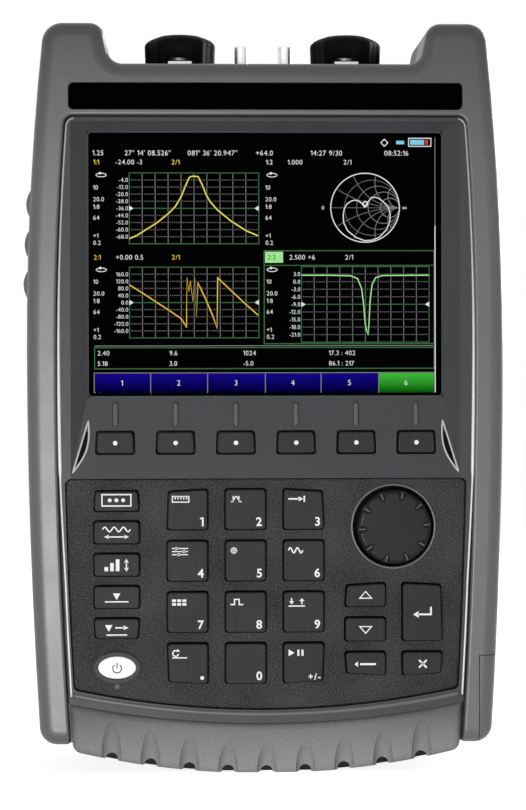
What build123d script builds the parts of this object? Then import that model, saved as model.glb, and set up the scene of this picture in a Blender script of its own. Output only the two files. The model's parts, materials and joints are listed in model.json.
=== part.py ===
from build123d import *
import math
import os

# Handheld microwave analyzer: a hard case with a screen, soft keys, a keypad, a tuning knob and capped ports.
# X runs to the right, Y from the front face to the back and Z up, in millimetres.
# The origin is under the middle of the case, at the lowest point of the bottom bumper.

# Clearances
FIT_GAP = 0.2           # between fixed pieces that are let into each other
KEY_GAP = 0.6           # round a key in its opening
SOFT_KEY_GAP = 0.8      # round a soft key in its opening
DOOR_GAP = 0.3          # round a door in its seat
RUN_GAP = 0.05          # round a turning shaft or pin
OVERRUN = 2.0           # how far a cut runs past the material that it opens
PICK = 0.05             # how near a corner or an edge must lie to be picked

# Case outline, as seen from the front
CASE_WIDTH = 186.0          # at the widest height
TOP_TAPER = 14.0            # narrower at the horn tops
BOTTOM_TAPER = 10.0         # narrower at the lower edge of the rails
WIDEST_HEIGHT = 165.0
HOUSING_BOTTOM = 11.0       # lower edge of the housings over the bumper's foot
CASE_CORNER_RADIUS = 7.0
HORN_HEIGHT = 15.7
HORN_WIDTH = 22.5           # of one horn at its top
HORN_SPLAY = 6.0            # the gap between the horns is narrower at their feet
HORN_OUTER_RADIUS = 8.0
HORN_INNER_EASE = 0.2       # how much rounder its inner corner is than the edge of the case
HORN_FOOT_RADIUS = 6.0
CASE_EDGE_RADIUS = 5.6      # rounding round the front and the back of the case
WALL = 3.0

# Depths
FRONT_DEPTH = 32.0      # from the parting plane to the face of the rails
REAR_DEPTH = 35.0       # from the parting plane to the back of the case
PARTING = -2.0
BEZEL_SINK = 2.0        # bezel rim below the rails
PANEL_SINK = 4.0        # keypad panel below the rails
WINDOW_SINK = 7.0       # screen window below the rails
SEAT_SINK = 9.0         # seat of the bezel and the panel below the rails
FLANGE_THICKNESS = 1.2  # lip behind each key
FLANGE_LIP = 0.6        # how far that lip reaches behind the panel
KEY_TRAVEL = 1.2

# Front layout, stacked from the foot
RAIL_WIDTH = 11.5
RAIL_INNER_RADIUS = 1.0
BEZEL_LEG = 2.7         # bezel strip beside the keypad panel
BEZEL_BAND = 5.0        # bezel strip under the keypad panel
BEZEL_CORNER_RADIUS = 3.6
BEZEL_EDGE_RADIUS = 0.8
KEYPAD_LOW = 32.4       # lower corners of the keypad panel
KEYPAD_SAG = 8.1        # its lower edge hangs lower in the middle
KEYPAD_HEIGHT = 82.3
KEYPAD_CORNER_RADIUS = 2.4
SHELF_HEIGHT = 31.6     # sloping shelf of the soft keys
SCREEN_MARGIN = 12.0    # from the rails to the screen
SCREEN_HEIGHT = 103.7
SCREEN_SIDE_SLOPE = 6.4  # width of the slope beside the screen
SCREEN_TOP_SLOPE = 3.6   # height of the slope above the screen
BEZEL_HEAD = 5.6        # from the screen to the top of the bezel
SHOULDER_HEIGHT = 20.5  # from the bezel to the top edge of the case
LEDGE_WIDTH = 6.0       # ledge inside the case that bezel and panel rest on
LEDGE_MARGIN = 0.8      # from the lowest key lip and the LCD to that ledge

# Nameplate strip
NAMEPLATE_SHARE = 0.823  # of the case width
NAMEPLATE_HEIGHT = 10.6
NAMEPLATE_RADIUS = 1.9
NAMEPLATE_THICKNESS = 0.9
NAMEPLATE_SINK = 0.3
NAMEPLATE_DROP = 13.2   # from the top edge of the case to the middle of the strip

# Screen window and LCD
WINDOW_LAP = 2.0        # how far the window reaches behind the bezel
LCD_MARGIN = 1.6        # LCD frame beyond the screen opening
LCD_THICKNESS = 8.0

# Bottom bumper
BUMPER_CORNER = 8.4     # height of the lower corners
BUMPER_CORNER_RADIUS = 4.0
BUMPER_FLAT = 0.6       # taken off the foot so that the case stands
BUMPER_FACE_SINK = 1.2  # bumper face below the rails
BUMPER_EDGE_RADIUS = 3.0
BUMPER_SLOT = 0.9       # open slot between each end of the bumper and the rail
BUMPER_INSET = 4.0      # from the back of the case to the back of the bumper
NOTCH_COUNT = 9
NOTCH_PITCH_SHARE = 0.0812  # of the case width
NOTCH_RADIUS = 3.9
NOTCH_RISE = 11.4       # height of the middle notch
NOTCH_EXTRA_RISE = 4.2  # more height at the outer notches
NOTCH_FOOT_RADIUS = 2.4     # short round groove under each notch
NOTCH_FOOT_LENGTH = 6.0

# Ribs and soft keys on the shelf
SOFT_KEY_COUNT = 6
SOFT_KEY_PITCH_SHARE = 0.144  # of the width between the rails
SOFT_KEY_SHARE = 0.088
SOFT_KEY_HEIGHT = 8.0
SOFT_KEY_TAPER = 0.4    # each upper corner is drawn in
SOFT_KEY_DROP = 17.7    # from the screen to the middle of the soft keys
SOFT_KEY_RISE = 1.6     # soft key face over the shelf
RIB_LENGTH = 10.2
RIB_WIDTH = 2.6
RIB_RISE = 0.8
RIB_ROOT = 0.5          # how far a rib is set into the shelf
RIB_EDGE_RADIUS = 0.6
RIB_DROP = 6.8          # from the screen to the middle of the ribs
CRESCENT_TOP = 9.1      # from the screen to the upper tip of a crescent
CRESCENT_LENGTH = 20.2
CRESCENT_LEAN = 6.0     # its lower tip lies farther out
CRESCENT_BULGE = 2.6
CRESCENT_DEPTH = 1.0
CRESCENT_INSET = 0.3    # upper tip from the edge of the screen

# Keys, whose columns and widths are shares of the width between the rails
KEY_RISE = 3.4
KEY_EDGE_RADIUS = 0.5
KEY_CORNER = 1.3
KEY_TRIM = 0.9          # corner keys follow the bowed outline of their block
KEY_TRIM_SHARE = 0.7
NUMBER_SHARE = 0.0945
NUMBER_HEIGHT = 15.4
NUMBER_PITCH_SHARE = 0.1387
NUMBER_PITCH_DOWN = 20.0
NUMBER_MIDDLE_SHARE = -0.0497   # middle column
NUMBER_DROP = 12.1      # from the top of the panel to the first row
FUNCTION_COUNT = 5
FUNCTION_SHARE = 0.106
FUNCTION_HEIGHT = 8.4
FUNCTION_PITCH = 12.6
FUNCTION_MIDDLE_SHARE = -0.357
FUNCTION_DROP = 8.3
ARROW_SHARE = 0.0945
ARROW_HEIGHT = 8.8
ARROW_PITCH = 13.45
ARROW_MIDDLE_SHARE = 0.2365
ARROW_DROP = 45.6
ENTER_MIDDLE_SHARE = 0.3733
ENTER_SHARE = 0.093

# Power button and lamp
POWER_DROP = 14.9       # below the lowest function key
POWER_SHARE = 0.0908
POWER_HEIGHT = 8.8
POWER_RISE = 1.2
POWER_RING_WIDTH = 1.3
POWER_RING_RISE = 1.0
LAMP_RADIUS = 1.0
LAMP_DROP = 7.5         # below the power button
LAMP_RISE = 0.2

# Knob and encoder
KNOB_MIDDLE_SHARE = 0.3046
KNOB_DROP = 19.0
KNOB_RADIUS = 14.3
KNOB_RISE = 6.0         # over the keypad panel
KNOB_EDGE_RADIUS = 1.6
KNOB_WELL_GAP = 1.5
KNOB_RIM_WIDTH = 0.9
KNOB_RIM_RISE = 0.6
KNOB_SKIN = 3.0         # thickness over the hollow underside
KNOB_HUB_RADIUS = 5.2
FLUTE_COUNT = 10
FLUTE_RADIUS = 1.7
FLUTE_DEPTH = 1.5       # at the rim
FLUTE_LENGTH = 3.8      # from the rim to the inner end of a flute
FLUTE_TURN = 4.0        # degrees that the first flute lies above level
SHAFT_RADIUS = 3.0
BUSH_RADIUS = 4.4
BUSH_RISE = 2.0         # bush above the board
ENCODER_SIZE = 13.0
ENCODER_THICKNESS = 7.0

# Boards, RF module and battery
BOARD_THICKNESS = 1.6
KEY_BOARD_LAP = 2.0     # how far the keypad board reaches behind the ledge
KEY_BOARD_HEAD = 8.5    # from the screen to the top of the keypad board
MAIN_BOARD_DEPTH = 4.0  # in front of the parting plane
MAIN_BOARD_INSET = 8.5  # from the widest case side to the board
MAIN_BOARD_LOW = 49.0
MAIN_BOARD_HEAD = 18.0  # below the top edge of the case
RF_WIDTH = 92.0
RF_HEIGHT = 62.0
RF_DEPTH = 19.0
BATTERY_SHARE = 0.72    # of the case width
BATTERY_HEIGHT = 24.5
BATTERY_FRONT = -13.0
BATTERY_ROOM = 5.0      # behind the battery

# Case screws
BOSS_INSET = 12.5       # from the widest case side
BOSS_HEIGHTS = (57.0, 165.0, 244.0)
BOSS_RADIUS = 4.0
SCREW_RADIUS = 1.5
SCREW_HEAD_RADIUS = 2.8
SCREW_HEAD_HEIGHT = 2.2
SCREW_SINK = 4.0        # head seat below the back of the case
SCREW_REACH = 8.0       # how far a screw enters its front boss
SCREW_SOCKET_RADIUS = 1.2

# Top plate, ports and caps
PORT_OPENING_MARGIN = 4.5  # from the feet of the horns
PORT_OPENING_DEPTH = 38.0
PORT_MIDDLE = 2.0       # depth of the port row
TOP_PLATE_LAP = 3.0
TOP_PLATE_THICKNESS = 2.0
PORT_PITCH_SHARE = 0.595   # of the opening
PORT_FLANGE_RADIUS = 8.6
PORT_FLANGE_HEIGHT = 2.2
PORT_RADIUS = 6.0
PORT_LENGTH = 15.0      # above the top plate
PORT_TAIL_RADIUS = 5.0
PORT_TAIL = 8.0
PORT_RECESS_RADIUS = 3.4
PORT_PIN_RADIUS = 1.7
PORT_RECESS_DEPTH = 2.0
CAP_RADIUS = 14.4
CAP_FOOT = 4.2          # lower edge of a cap over the top plate
CAP_ROOF = 3.4
CAP_CHAMFER_DROP = 3.8
CAP_CHAMFER_REACH = 6.0
CAP_LIP = 0.7
SCALLOP_COUNT = 6
SCALLOP_RADIUS = 9.0
SCALLOP_DEPTH = 1.3
JACK_PITCH_SHARE = 0.156   # of the opening
JACK_RADIUS = 2.75
JACK_LENGTH = 14.2
JACK_NUT_RADIUS = 4.4
JACK_NUT_HEIGHT = 2.4
JACK_TIP = 0.5
JACK_BORE_RADIUS = 1.5
JACK_BORE_DEPTH = 3.0

# Side doors, in the rear half of the case
DOOR_FRONT = 2.0
DOOR_BACK = 26.0
DOOR_THICKNESS = 2.8
DOOR_RISE = 1.4         # door face over the case side
DOOR_EDGE_RADIUS = 0.9
PULL_RISE = 2.4         # finger pull over the face of a door
PULL_MARGIN = 0.8       # from the pull to the ends of the door
PULL_LENGTH = 7.0       # pull from front to back
PULL_SLOT = 1.0         # nail slot in the front of the pull
POCKET_DEPTH = 3.8
POCKET_MARGIN = 2.2     # seat left round the pocket
POCKET_HINGE_MARGIN = 4.4
BAY_WALL = 2.0
LEFT_DOOR_HEIGHT = 14.6
LEFT_DOOR_PITCH = 16.2
LEFT_DOOR_LOW = 191.6   # middle of the lowest left door
LEFT_DOOR_COUNT = 3
RIGHT_DOOR_HEIGHT = 58.0
RIGHT_DOOR_MIDDLE = 114.5
SOCKET_RISE = 3.0
SOCKET_SLOT = 2.4
USB_WIDTH = 13.0
USB_HEIGHT = 6.4
LAN_WIDTH = 15.0
LAN_HEIGHT = 13.0
SOCKET_RIM = 1.0
ROUND_SOCKET_RADIUS = 4.2
ROUND_SOCKET_BORE = 1.8
RIGHT_SOCKET_PITCH = 17.0

# Battery door at the lower right corner
BATTERY_DOOR_INSET = 10.2  # from the widest case side
BATTERY_DOOR_TOP = 45.6
BATTERY_DOOR_BACK = 26.0

# Tilt stand on the back
STAND_WIDTH = 88.0
STAND_LENGTH = 112.0
STAND_THICKNESS = 4.6
STAND_TOP = 190.0
STAND_PIN_RADIUS = 1.8
STAND_PIN_LENGTH = 4.0
STAND_SINK = 0.4        # stand below the back of the case
STAND_GAP = 0.4
STAND_WALL = 3.0
STAND_CORNER_RADIUS = 8.0
FINGER_WIDTH = 26.0
FINGER_HEIGHT = 9.0

# Back of the case
FOOT_RADIUS = 7.0
FOOT_RISE = 3.0
FOOT_SINK = 1.0
FOOT_EDGE_RADIUS = 0.8
FOOT_INSET = 25.0       # from the widest case side
FOOT_HEIGHTS = (36.0, 260.0)
GROOVE_COUNT = 15
GROOVE_PITCH = 7.2
GROOVE_WIDTH = 3.0
GROOVE_LENGTH = 44.0
GROOVE_DEPTH = 1.2
GROOVE_MIDDLE = 228.0

# Roundings that follow from the case edge
HORN_INNER_RADIUS = CASE_EDGE_RADIUS + HORN_INNER_EASE

# Widths that follow from the case width
CASE_WIDTH_TOP = CASE_WIDTH - TOP_TAPER
CASE_WIDTH_BOTTOM = CASE_WIDTH - BOTTOM_TAPER
HORN_GAP_TOP = CASE_WIDTH_TOP - 2 * HORN_WIDTH
HORN_GAP_FOOT = HORN_GAP_TOP - HORN_SPLAY
FRONT_WIDTH = CASE_WIDTH - 2 * RAIL_WIDTH
SCREEN_WIDTH = FRONT_WIDTH - 2 * SCREEN_MARGIN
NAMEPLATE_WIDTH = NAMEPLATE_SHARE * CASE_WIDTH
NOTCH_PITCH = NOTCH_PITCH_SHARE * CASE_WIDTH
SOFT_KEY_PITCH = SOFT_KEY_PITCH_SHARE * FRONT_WIDTH
SOFT_KEY_WIDTH = SOFT_KEY_SHARE * FRONT_WIDTH
CRESCENT_REACH = SCREEN_WIDTH / 2 - CRESCENT_INSET
NUMBER_WIDTH = NUMBER_SHARE * FRONT_WIDTH
NUMBER_PITCH_ACROSS = NUMBER_PITCH_SHARE * FRONT_WIDTH
NUMBER_MIDDLE = NUMBER_MIDDLE_SHARE * FRONT_WIDTH
FUNCTION_WIDTH = FUNCTION_SHARE * FRONT_WIDTH
FUNCTION_MIDDLE = FUNCTION_MIDDLE_SHARE * FRONT_WIDTH
ARROW_WIDTH = ARROW_SHARE * FRONT_WIDTH
ARROW_MIDDLE = ARROW_MIDDLE_SHARE * FRONT_WIDTH
ENTER_WIDTH = ENTER_SHARE * FRONT_WIDTH
ENTER_MIDDLE = ENTER_MIDDLE_SHARE * FRONT_WIDTH
POWER_WIDTH = POWER_SHARE * FRONT_WIDTH
KNOB_MIDDLE = KNOB_MIDDLE_SHARE * FRONT_WIDTH
MAIN_BOARD_WIDTH = CASE_WIDTH - 2 * MAIN_BOARD_INSET
BATTERY_LENGTH = BATTERY_SHARE * CASE_WIDTH
BOSS_REACH = CASE_WIDTH / 2 - BOSS_INSET
PORT_OPENING_WIDTH = HORN_GAP_FOOT - 2 * PORT_OPENING_MARGIN
PORT_PITCH = PORT_PITCH_SHARE * PORT_OPENING_WIDTH
JACK_PITCH = JACK_PITCH_SHARE * PORT_OPENING_WIDTH
BATTERY_DOOR_PLANE = CASE_WIDTH / 2 - BATTERY_DOOR_INSET
FOOT_REACH = CASE_WIDTH / 2 - FOOT_INSET

# Depths and heights that follow from the ones above
CASE_FRONT = PARTING - FRONT_DEPTH
CASE_BACK = PARTING + REAR_DEPTH
BUMPER_BACK = CASE_BACK - BUMPER_INSET
BATTERY_DEPTH = CASE_BACK - WALL - BATTERY_ROOM - BATTERY_FRONT
BEZEL_FACE = CASE_FRONT + BEZEL_SINK
PANEL_FACE = CASE_FRONT + PANEL_SINK
WINDOW_FACE = CASE_FRONT + WINDOW_SINK
SEAT = CASE_FRONT + SEAT_SINK
LEDGE_BACK = SEAT + FLANGE_THICKNESS + KEY_TRAVEL + FIT_GAP
KEYPAD_TOP = KEYPAD_LOW + KEYPAD_HEIGHT
SCREEN_LOW = KEYPAD_TOP + SHELF_HEIGHT
SCREEN_TOP = SCREEN_LOW + SCREEN_HEIGHT
BEZEL_TOP = SCREEN_TOP + BEZEL_HEAD
TOP_EDGE = BEZEL_TOP + SHOULDER_HEIGHT
CASE_HEIGHT = TOP_EDGE + HORN_HEIGHT
TOP_PLATE_FACE = TOP_EDGE - WALL
MAIN_BOARD_FACE = PARTING - MAIN_BOARD_DEPTH
SCREEN_MIDDLE = (SCREEN_LOW + SCREEN_TOP) / 2
KNOB_HEIGHT = KEYPAD_TOP - KNOB_DROP
KNOB_FACE = PANEL_FACE - KNOB_RISE
KNOB_WELL_RADIUS = KNOB_RADIUS + KNOB_WELL_GAP
POWER_MIDDLE = KEYPAD_TOP - FUNCTION_DROP - (FUNCTION_COUNT - 1) * FUNCTION_PITCH - POWER_DROP
STAND_AXIS_DEPTH = CASE_BACK - STAND_SINK - STAND_THICKNESS / 2
STAND_AXIS_HEIGHT = STAND_TOP - STAND_THICKNESS / 2
STAND_FLOOR = CASE_BACK - STAND_SINK - STAND_THICKNESS - FIT_GAP


def arc_radius(rise, run):
    """Radius of an arc that starts upright and moves in by rise over the height run."""
    return (rise**2 + run**2) / (2 * rise)


UPPER_RADIUS = arc_radius((CASE_WIDTH - CASE_WIDTH_TOP) / 2, CASE_HEIGHT - WIDEST_HEIGHT)
LOWER_RADIUS = arc_radius((CASE_WIDTH - CASE_WIDTH_BOTTOM) / 2, WIDEST_HEIGHT - HOUSING_BOTTOM)


def side_radius(height):
    """Radius of the case side above or below its widest height."""
    if height > WIDEST_HEIGHT:
        return UPPER_RADIUS
    return LOWER_RADIUS


def side_x(height, inset=0.0):
    """Half the case width at a height, less an inset measured square to the side."""
    radius = side_radius(height)
    reach = radius - inset
    return CASE_WIDTH / 2 - radius + math.sqrt(reach**2 - (height - WIDEST_HEIGHT)**2)


def side_arc(low, high, inset, side):
    """Arc up one side of the case between two heights on the same side of the widest one."""
    points = []
    for height in (low, (low + high) / 2, high):
        points.append((side * side_x(height, inset), height))
    return ThreePointArc(*points)


def side_edges(low, high, inset, side):
    """Arcs up one side of the case between any two heights."""
    if low < WIDEST_HEIGHT < high:
        return [side_arc(low, WIDEST_HEIGHT, inset, side), side_arc(WIDEST_HEIGHT, high, inset, side)]
    return [side_arc(low, high, inset, side)]


def cross_edge(height, sag, inset):
    """Edge from side to side whose middle hangs lower by the sag."""
    reach = side_x(height, inset)
    if sag == 0:
        return Line((-reach, height), (reach, height))
    return ThreePointArc((-reach, height), (0, height - sag), (reach, height))


def barrel(inset, low, high, low_sag=0.0, high_sag=0.0):
    """Field between two heights whose sides run parallel to the case sides."""
    edges = side_edges(low, high, inset, 1) + side_edges(low, high, inset, -1)
    edges.append(cross_edge(low, low_sag, inset))
    edges.append(cross_edge(high, high_sag, inset))
    return make_face(edges)


def round_pair(sketch, reach, height, radius):
    """The sketch with its left and right corners at that reach and height rounded."""
    pair = []
    for corner in sketch.vertices():
        if abs(abs(corner.X) - reach) < PICK and abs(corner.Y - height) < PICK:
            pair.append(corner)
    return fillet(pair, radius)


def slab(sketch, front, back):
    """A sketch drawn as seen from the front, as a solid between two depths."""
    return extrude(Plane.XZ.offset(-back) * sketch, amount=back - front)


def rod(x, height, radius, front, back):
    """Round bar from front to back."""
    return slab(Pos(x, height) * Circle(radius), front, back)


def post(x, depth, radius, low, high):
    """Upright round bar."""
    return extrude(Pos(x, depth, low) * Circle(radius), amount=high - low)


def block(x_range, y_range, z_range):
    """Box between two places along each axis."""
    sizes = []
    middles = []
    for low, high in (x_range, y_range, z_range):
        sizes.append(high - low)
        middles.append((low + high) / 2)
    return Pos(*middles) * Box(*sizes)


def front_face(solid):
    """The face of a solid that lies farthest to the front."""
    return solid.faces().sort_by(Axis.Y)[0]


def back_face(solid):
    """The face of a solid that lies farthest to the back."""
    return solid.faces().sort_by(Axis.Y)[-1]


def case_outline():
    """Outline of both housings: bowed sides and two horns."""
    edges = side_edges(HOUSING_BOTTOM, CASE_HEIGHT, 0.0, 1) + side_edges(HOUSING_BOTTOM, CASE_HEIGHT, 0.0, -1)
    edges.append(cross_edge(HOUSING_BOTTOM, 0.0, 0.0))
    top_reach = side_x(CASE_HEIGHT)
    for side in (1, -1):
        outer = (side * top_reach, CASE_HEIGHT)
        inner = (side * HORN_GAP_TOP / 2, CASE_HEIGHT)
        foot = (side * HORN_GAP_FOOT / 2, TOP_EDGE)
        edges.append(Line(outer, inner))
        edges.append(Line(inner, foot))
    edges.append(Line((-HORN_GAP_FOOT / 2, TOP_EDGE), (HORN_GAP_FOOT / 2, TOP_EDGE)))
    outline = make_face(edges)
    outline = round_pair(outline, side_x(HOUSING_BOTTOM), HOUSING_BOTTOM, CASE_CORNER_RADIUS)
    outline = round_pair(outline, top_reach, CASE_HEIGHT, HORN_OUTER_RADIUS)
    outline = round_pair(outline, HORN_GAP_TOP / 2, CASE_HEIGHT, HORN_INNER_RADIUS)
    return round_pair(outline, HORN_GAP_FOOT / 2, TOP_EDGE, HORN_FOOT_RADIUS)


def front_shell():
    """Front half of the case as a full solid with its rounded front edge."""
    shell = slab(case_outline(), CASE_FRONT, PARTING)
    return fillet(front_face(shell).edges(), CASE_EDGE_RADIUS)


def rear_shell():
    """Rear half of the case as a full solid with its rounded back edge."""
    shell = slab(case_outline(), PARTING, CASE_BACK)
    return fillet(back_face(shell).edges(), CASE_EDGE_RADIUS)


def panel_field(inset, low):
    """Field inside the rails, from a height up to the top of the bezel."""
    field = barrel(RAIL_WIDTH + inset, low, BEZEL_TOP - inset)
    return round_pair(field, side_x(BEZEL_TOP - inset, RAIL_WIDTH + inset), BEZEL_TOP - inset,
                      BEZEL_CORNER_RADIUS)


def keypad_field(inset):
    """Field of the keypad panel, with a lower edge that hangs in the middle."""
    side = RAIL_WIDTH + BEZEL_LEG + inset
    field = barrel(side, KEYPAD_LOW + inset, KEYPAD_TOP - inset, KEYPAD_SAG)
    field = round_pair(field, side_x(KEYPAD_LOW + inset, side), KEYPAD_LOW + inset, KEYPAD_CORNER_RADIUS)
    return round_pair(field, side_x(KEYPAD_TOP - inset, side), KEYPAD_TOP - inset, KEYPAD_CORNER_RADIUS)


def nameplate_field(inset):
    """Field of the nameplate strip in the top shoulder."""
    strip = RectangleRounded(NAMEPLATE_WIDTH - 2 * inset, NAMEPLATE_HEIGHT - 2 * inset, NAMEPLATE_RADIUS)
    return Pos(0, TOP_EDGE - NAMEPLATE_DROP) * strip


def port_opening():
    """Opening in the top of the case for the ports."""
    half = PORT_OPENING_WIDTH / 2
    front = PORT_MIDDLE - PORT_OPENING_DEPTH / 2
    return block((-half, half), (front, front + PORT_OPENING_DEPTH),
                 (TOP_PLATE_FACE - OVERRUN, TOP_EDGE + OVERRUN))


def battery_gate(inset):
    """Space at the lower right corner that the battery door fills."""
    return block((BATTERY_DOOR_PLANE + inset, CASE_WIDTH), (CASE_FRONT - OVERRUN, BATTERY_DOOR_BACK - inset),
                 (-OVERRUN, BATTERY_DOOR_TOP - inset))


def boss_places():
    """Middles of the case screws, as seen from the front."""
    places = []
    for height in BOSS_HEIGHTS:
        places.append((-BOSS_REACH, height))
        places.append((BOSS_REACH, height))
    return places


def cavity_field():
    """Hollow inside both housings, as seen from the front."""
    return barrel(WALL, HOUSING_BOTTOM + WALL, TOP_EDGE - WALL)


def key_list():
    """Every key of the panel as name, middle across, middle height, width, height and drawn-in corners."""
    keys = []
    rows = (("1", "2", "3"), ("4", "5", "6"), ("7", "8", "9"), ("point", "0", "sign"))
    trims = {"1": ("nw",), "3": ("ne",), "point": ("sw",), "sign": ("se",)}
    for row, names in enumerate(rows):
        height = KEYPAD_TOP - NUMBER_DROP - row * NUMBER_PITCH_DOWN
        for column, name in enumerate(names):
            across = NUMBER_MIDDLE + (column - 1) * NUMBER_PITCH_ACROSS
            keys.append((f"number_key_{name}", across, height, NUMBER_WIDTH, NUMBER_HEIGHT, trims.get(name, ())))
    ends = {0: ("nw", "ne"), FUNCTION_COUNT - 1: ("sw", "se")}
    for row in range(FUNCTION_COUNT):
        height = KEYPAD_TOP - FUNCTION_DROP - row * FUNCTION_PITCH
        keys.append((f"function_key_{row + 1}", FUNCTION_MIDDLE, height, FUNCTION_WIDTH, FUNCTION_HEIGHT,
                     ends.get(row, ())))
    arrows = (("up_key", ("nw",)), ("down_key", ()), ("back_key", ("sw",)))
    for row, (name, corners) in enumerate(arrows):
        height = KEYPAD_TOP - ARROW_DROP - row * ARROW_PITCH
        keys.append((name, ARROW_MIDDLE, height, ARROW_WIDTH, ARROW_HEIGHT, corners))
    enter_middle = KEYPAD_TOP - ARROW_DROP - ARROW_PITCH / 2
    keys.append(("enter_key", ENTER_MIDDLE, enter_middle, ENTER_WIDTH, ARROW_HEIGHT + ARROW_PITCH, ("ne",)))
    escape_middle = KEYPAD_TOP - ARROW_DROP - 2 * ARROW_PITCH
    keys.append(("escape_key", ENTER_MIDDLE, escape_middle, ENTER_WIDTH, ARROW_HEIGHT, ("se",)))
    return keys


def soft_key_list():
    """The soft keys in the same form as the other keys."""
    keys = []
    height = SCREEN_LOW - SOFT_KEY_DROP
    for place in range(SOFT_KEY_COUNT):
        across = (place - (SOFT_KEY_COUNT - 1) / 2) * SOFT_KEY_PITCH
        keys.append((f"soft_key_{place + 1}", across, height, SOFT_KEY_WIDTH, SOFT_KEY_HEIGHT, ("taper",)))
    return keys


def key_outline(key, grow):
    """Outline of a key, drawn in at its trimmed or tapered corners and larger by grow all round."""
    name, across, height, key_width, key_height, trims = key
    corners = []
    for corner, right, up in (("sw", -1, -1), ("se", 1, -1), ("ne", 1, 1), ("nw", -1, 1)):
        trim = KEY_TRIM if corner in trims else 0.0
        taper = SOFT_KEY_TAPER if "taper" in trims and up > 0 else 0.0
        x = right * (key_width / 2 + grow - trim * KEY_TRIM_SHARE - taper)
        y = up * (key_height / 2 + grow - trim)
        corners.append((across + x, height + y))
    outline = make_face(Polyline(*corners, close=True))
    return fillet(outline.vertices(), KEY_CORNER)


def key_solid(key, face, gap):
    """A key with its cap through the panel and a lip behind it."""
    cap = slab(key_outline(key, 0.0), face, SEAT)
    cap = fillet(front_face(cap).edges(), KEY_EDGE_RADIUS)
    return cap + slab(key_outline(key, gap + FLANGE_LIP), SEAT, SEAT + FLANGE_THICKNESS)


def ledge_window():
    """Opening in the ledge for the keys and the LCD."""
    lowest = min(height - key_height / 2 for name, across, height, key_width, key_height, trims in key_list())
    low = lowest - KEY_GAP - FLANGE_LIP - LEDGE_MARGIN
    return barrel(RAIL_WIDTH + LEDGE_WIDTH, low, SCREEN_TOP + LCD_MARGIN + LEDGE_MARGIN)


def front_housing():
    """Front case half: side rails, top shoulder and the front of both horns."""
    shell = front_shell() - slab(panel_field(0.0, HOUSING_BOTTOM - OVERRUN), CASE_FRONT - OVERRUN, SEAT)
    rim = []
    for edge in front_face(shell).edges():
        middle = edge @ 0.5
        if middle.Z < BEZEL_TOP + PICK and abs(middle.X) < side_x(middle.Z, RAIL_WIDTH) + PICK:
            rim.append(edge)
    shell = fillet(rim, RAIL_INNER_RADIUS)
    shell -= slab(cavity_field(), LEDGE_BACK, PARTING + OVERRUN)
    shell -= slab(ledge_window(), SEAT - OVERRUN, LEDGE_BACK + OVERRUN)
    shell -= slab(nameplate_field(0.0), CASE_FRONT - OVERRUN, CASE_FRONT + NAMEPLATE_SINK + NAMEPLATE_THICKNESS)
    for x, height in boss_places():
        shell += rod(x, height, BOSS_RADIUS, LEDGE_BACK, MAIN_BOARD_FACE)
        shell -= rod(x, height, SCREW_RADIUS + RUN_GAP, MAIN_BOARD_FACE - SCREW_REACH - FIT_GAP, PARTING)
    return shell - port_opening() - battery_gate(0.0)


def side_place(side, height):
    """Frame on the case side: Y to the back and Z up along the side."""
    lean = math.degrees(math.asin((height - WIDEST_HEIGHT) / side_radius(height)))
    return Pos(side * side_x(height), 0, height) * Rot(0, -side * lean, 0)


def side_block(side, inner, outer, y_range, half_height):
    """Box on the case side between two levels, counted outwards from the surface."""
    levels = sorted((side * inner, side * outer))
    return block(levels, y_range, (-half_height, half_height))


def door_places():
    """Every side door as name, side, middle height and door height."""
    places = []
    for number in range(LEFT_DOOR_COUNT):
        height = LEFT_DOOR_LOW + (LEFT_DOOR_COUNT - 1 - number) * LEFT_DOOR_PITCH
        places.append((f"left_door_{number + 1}", -1, height, LEFT_DOOR_HEIGHT))
    places.append(("right_door", 1, RIGHT_DOOR_MIDDLE, RIGHT_DOOR_HEIGHT))
    return places


def door_bay(side, height, door_height):
    """Thicker wall inside the case that holds a door's pocket."""
    inner = DOOR_RISE - DOOR_THICKNESS - POCKET_DEPTH - BAY_WALL
    bay = side_block(side, inner, OVERRUN, (PARTING, CASE_BACK), door_height / 2 + DOOR_GAP + BAY_WALL)
    return side_place(side, height) * bay


def door_cut(side, height, door_height):
    """Seat and pocket of a side door."""
    floor = DOOR_RISE - DOOR_THICKNESS
    seat = side_block(side, floor, DOOR_RISE + OVERRUN, (DOOR_FRONT - DOOR_GAP, DOOR_BACK + DOOR_GAP),
                      door_height / 2 + DOOR_GAP)
    pocket = side_block(side, floor - POCKET_DEPTH, floor + OVERRUN,
                        (DOOR_FRONT + POCKET_MARGIN, DOOR_BACK - POCKET_HINGE_MARGIN),
                        door_height / 2 - POCKET_MARGIN)
    return side_place(side, height) * (seat + pocket)


def side_door(side, height, door_height):
    """Door plate whose rear edge is rounded about its hinge line."""
    half = DOOR_THICKNESS / 2
    middle = side * (DOOR_RISE - half)
    plate = Pos(middle, (DOOR_FRONT + DOOR_BACK - half) / 2) * Rectangle(
        DOOR_THICKNESS, DOOR_BACK - half - DOOR_FRONT)
    corner = plate.vertices().sort_by(Axis.X)[::side][-2:].sort_by(Axis.Y)[0]
    plate = fillet(corner, DOOR_EDGE_RADIUS)
    plan = plate + Pos(middle, DOOR_BACK - half) * Circle(half)
    door = extrude(plan, amount=door_height / 2, both=True) + door_pull(side, door_height)
    return side_place(side, height) * door


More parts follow.
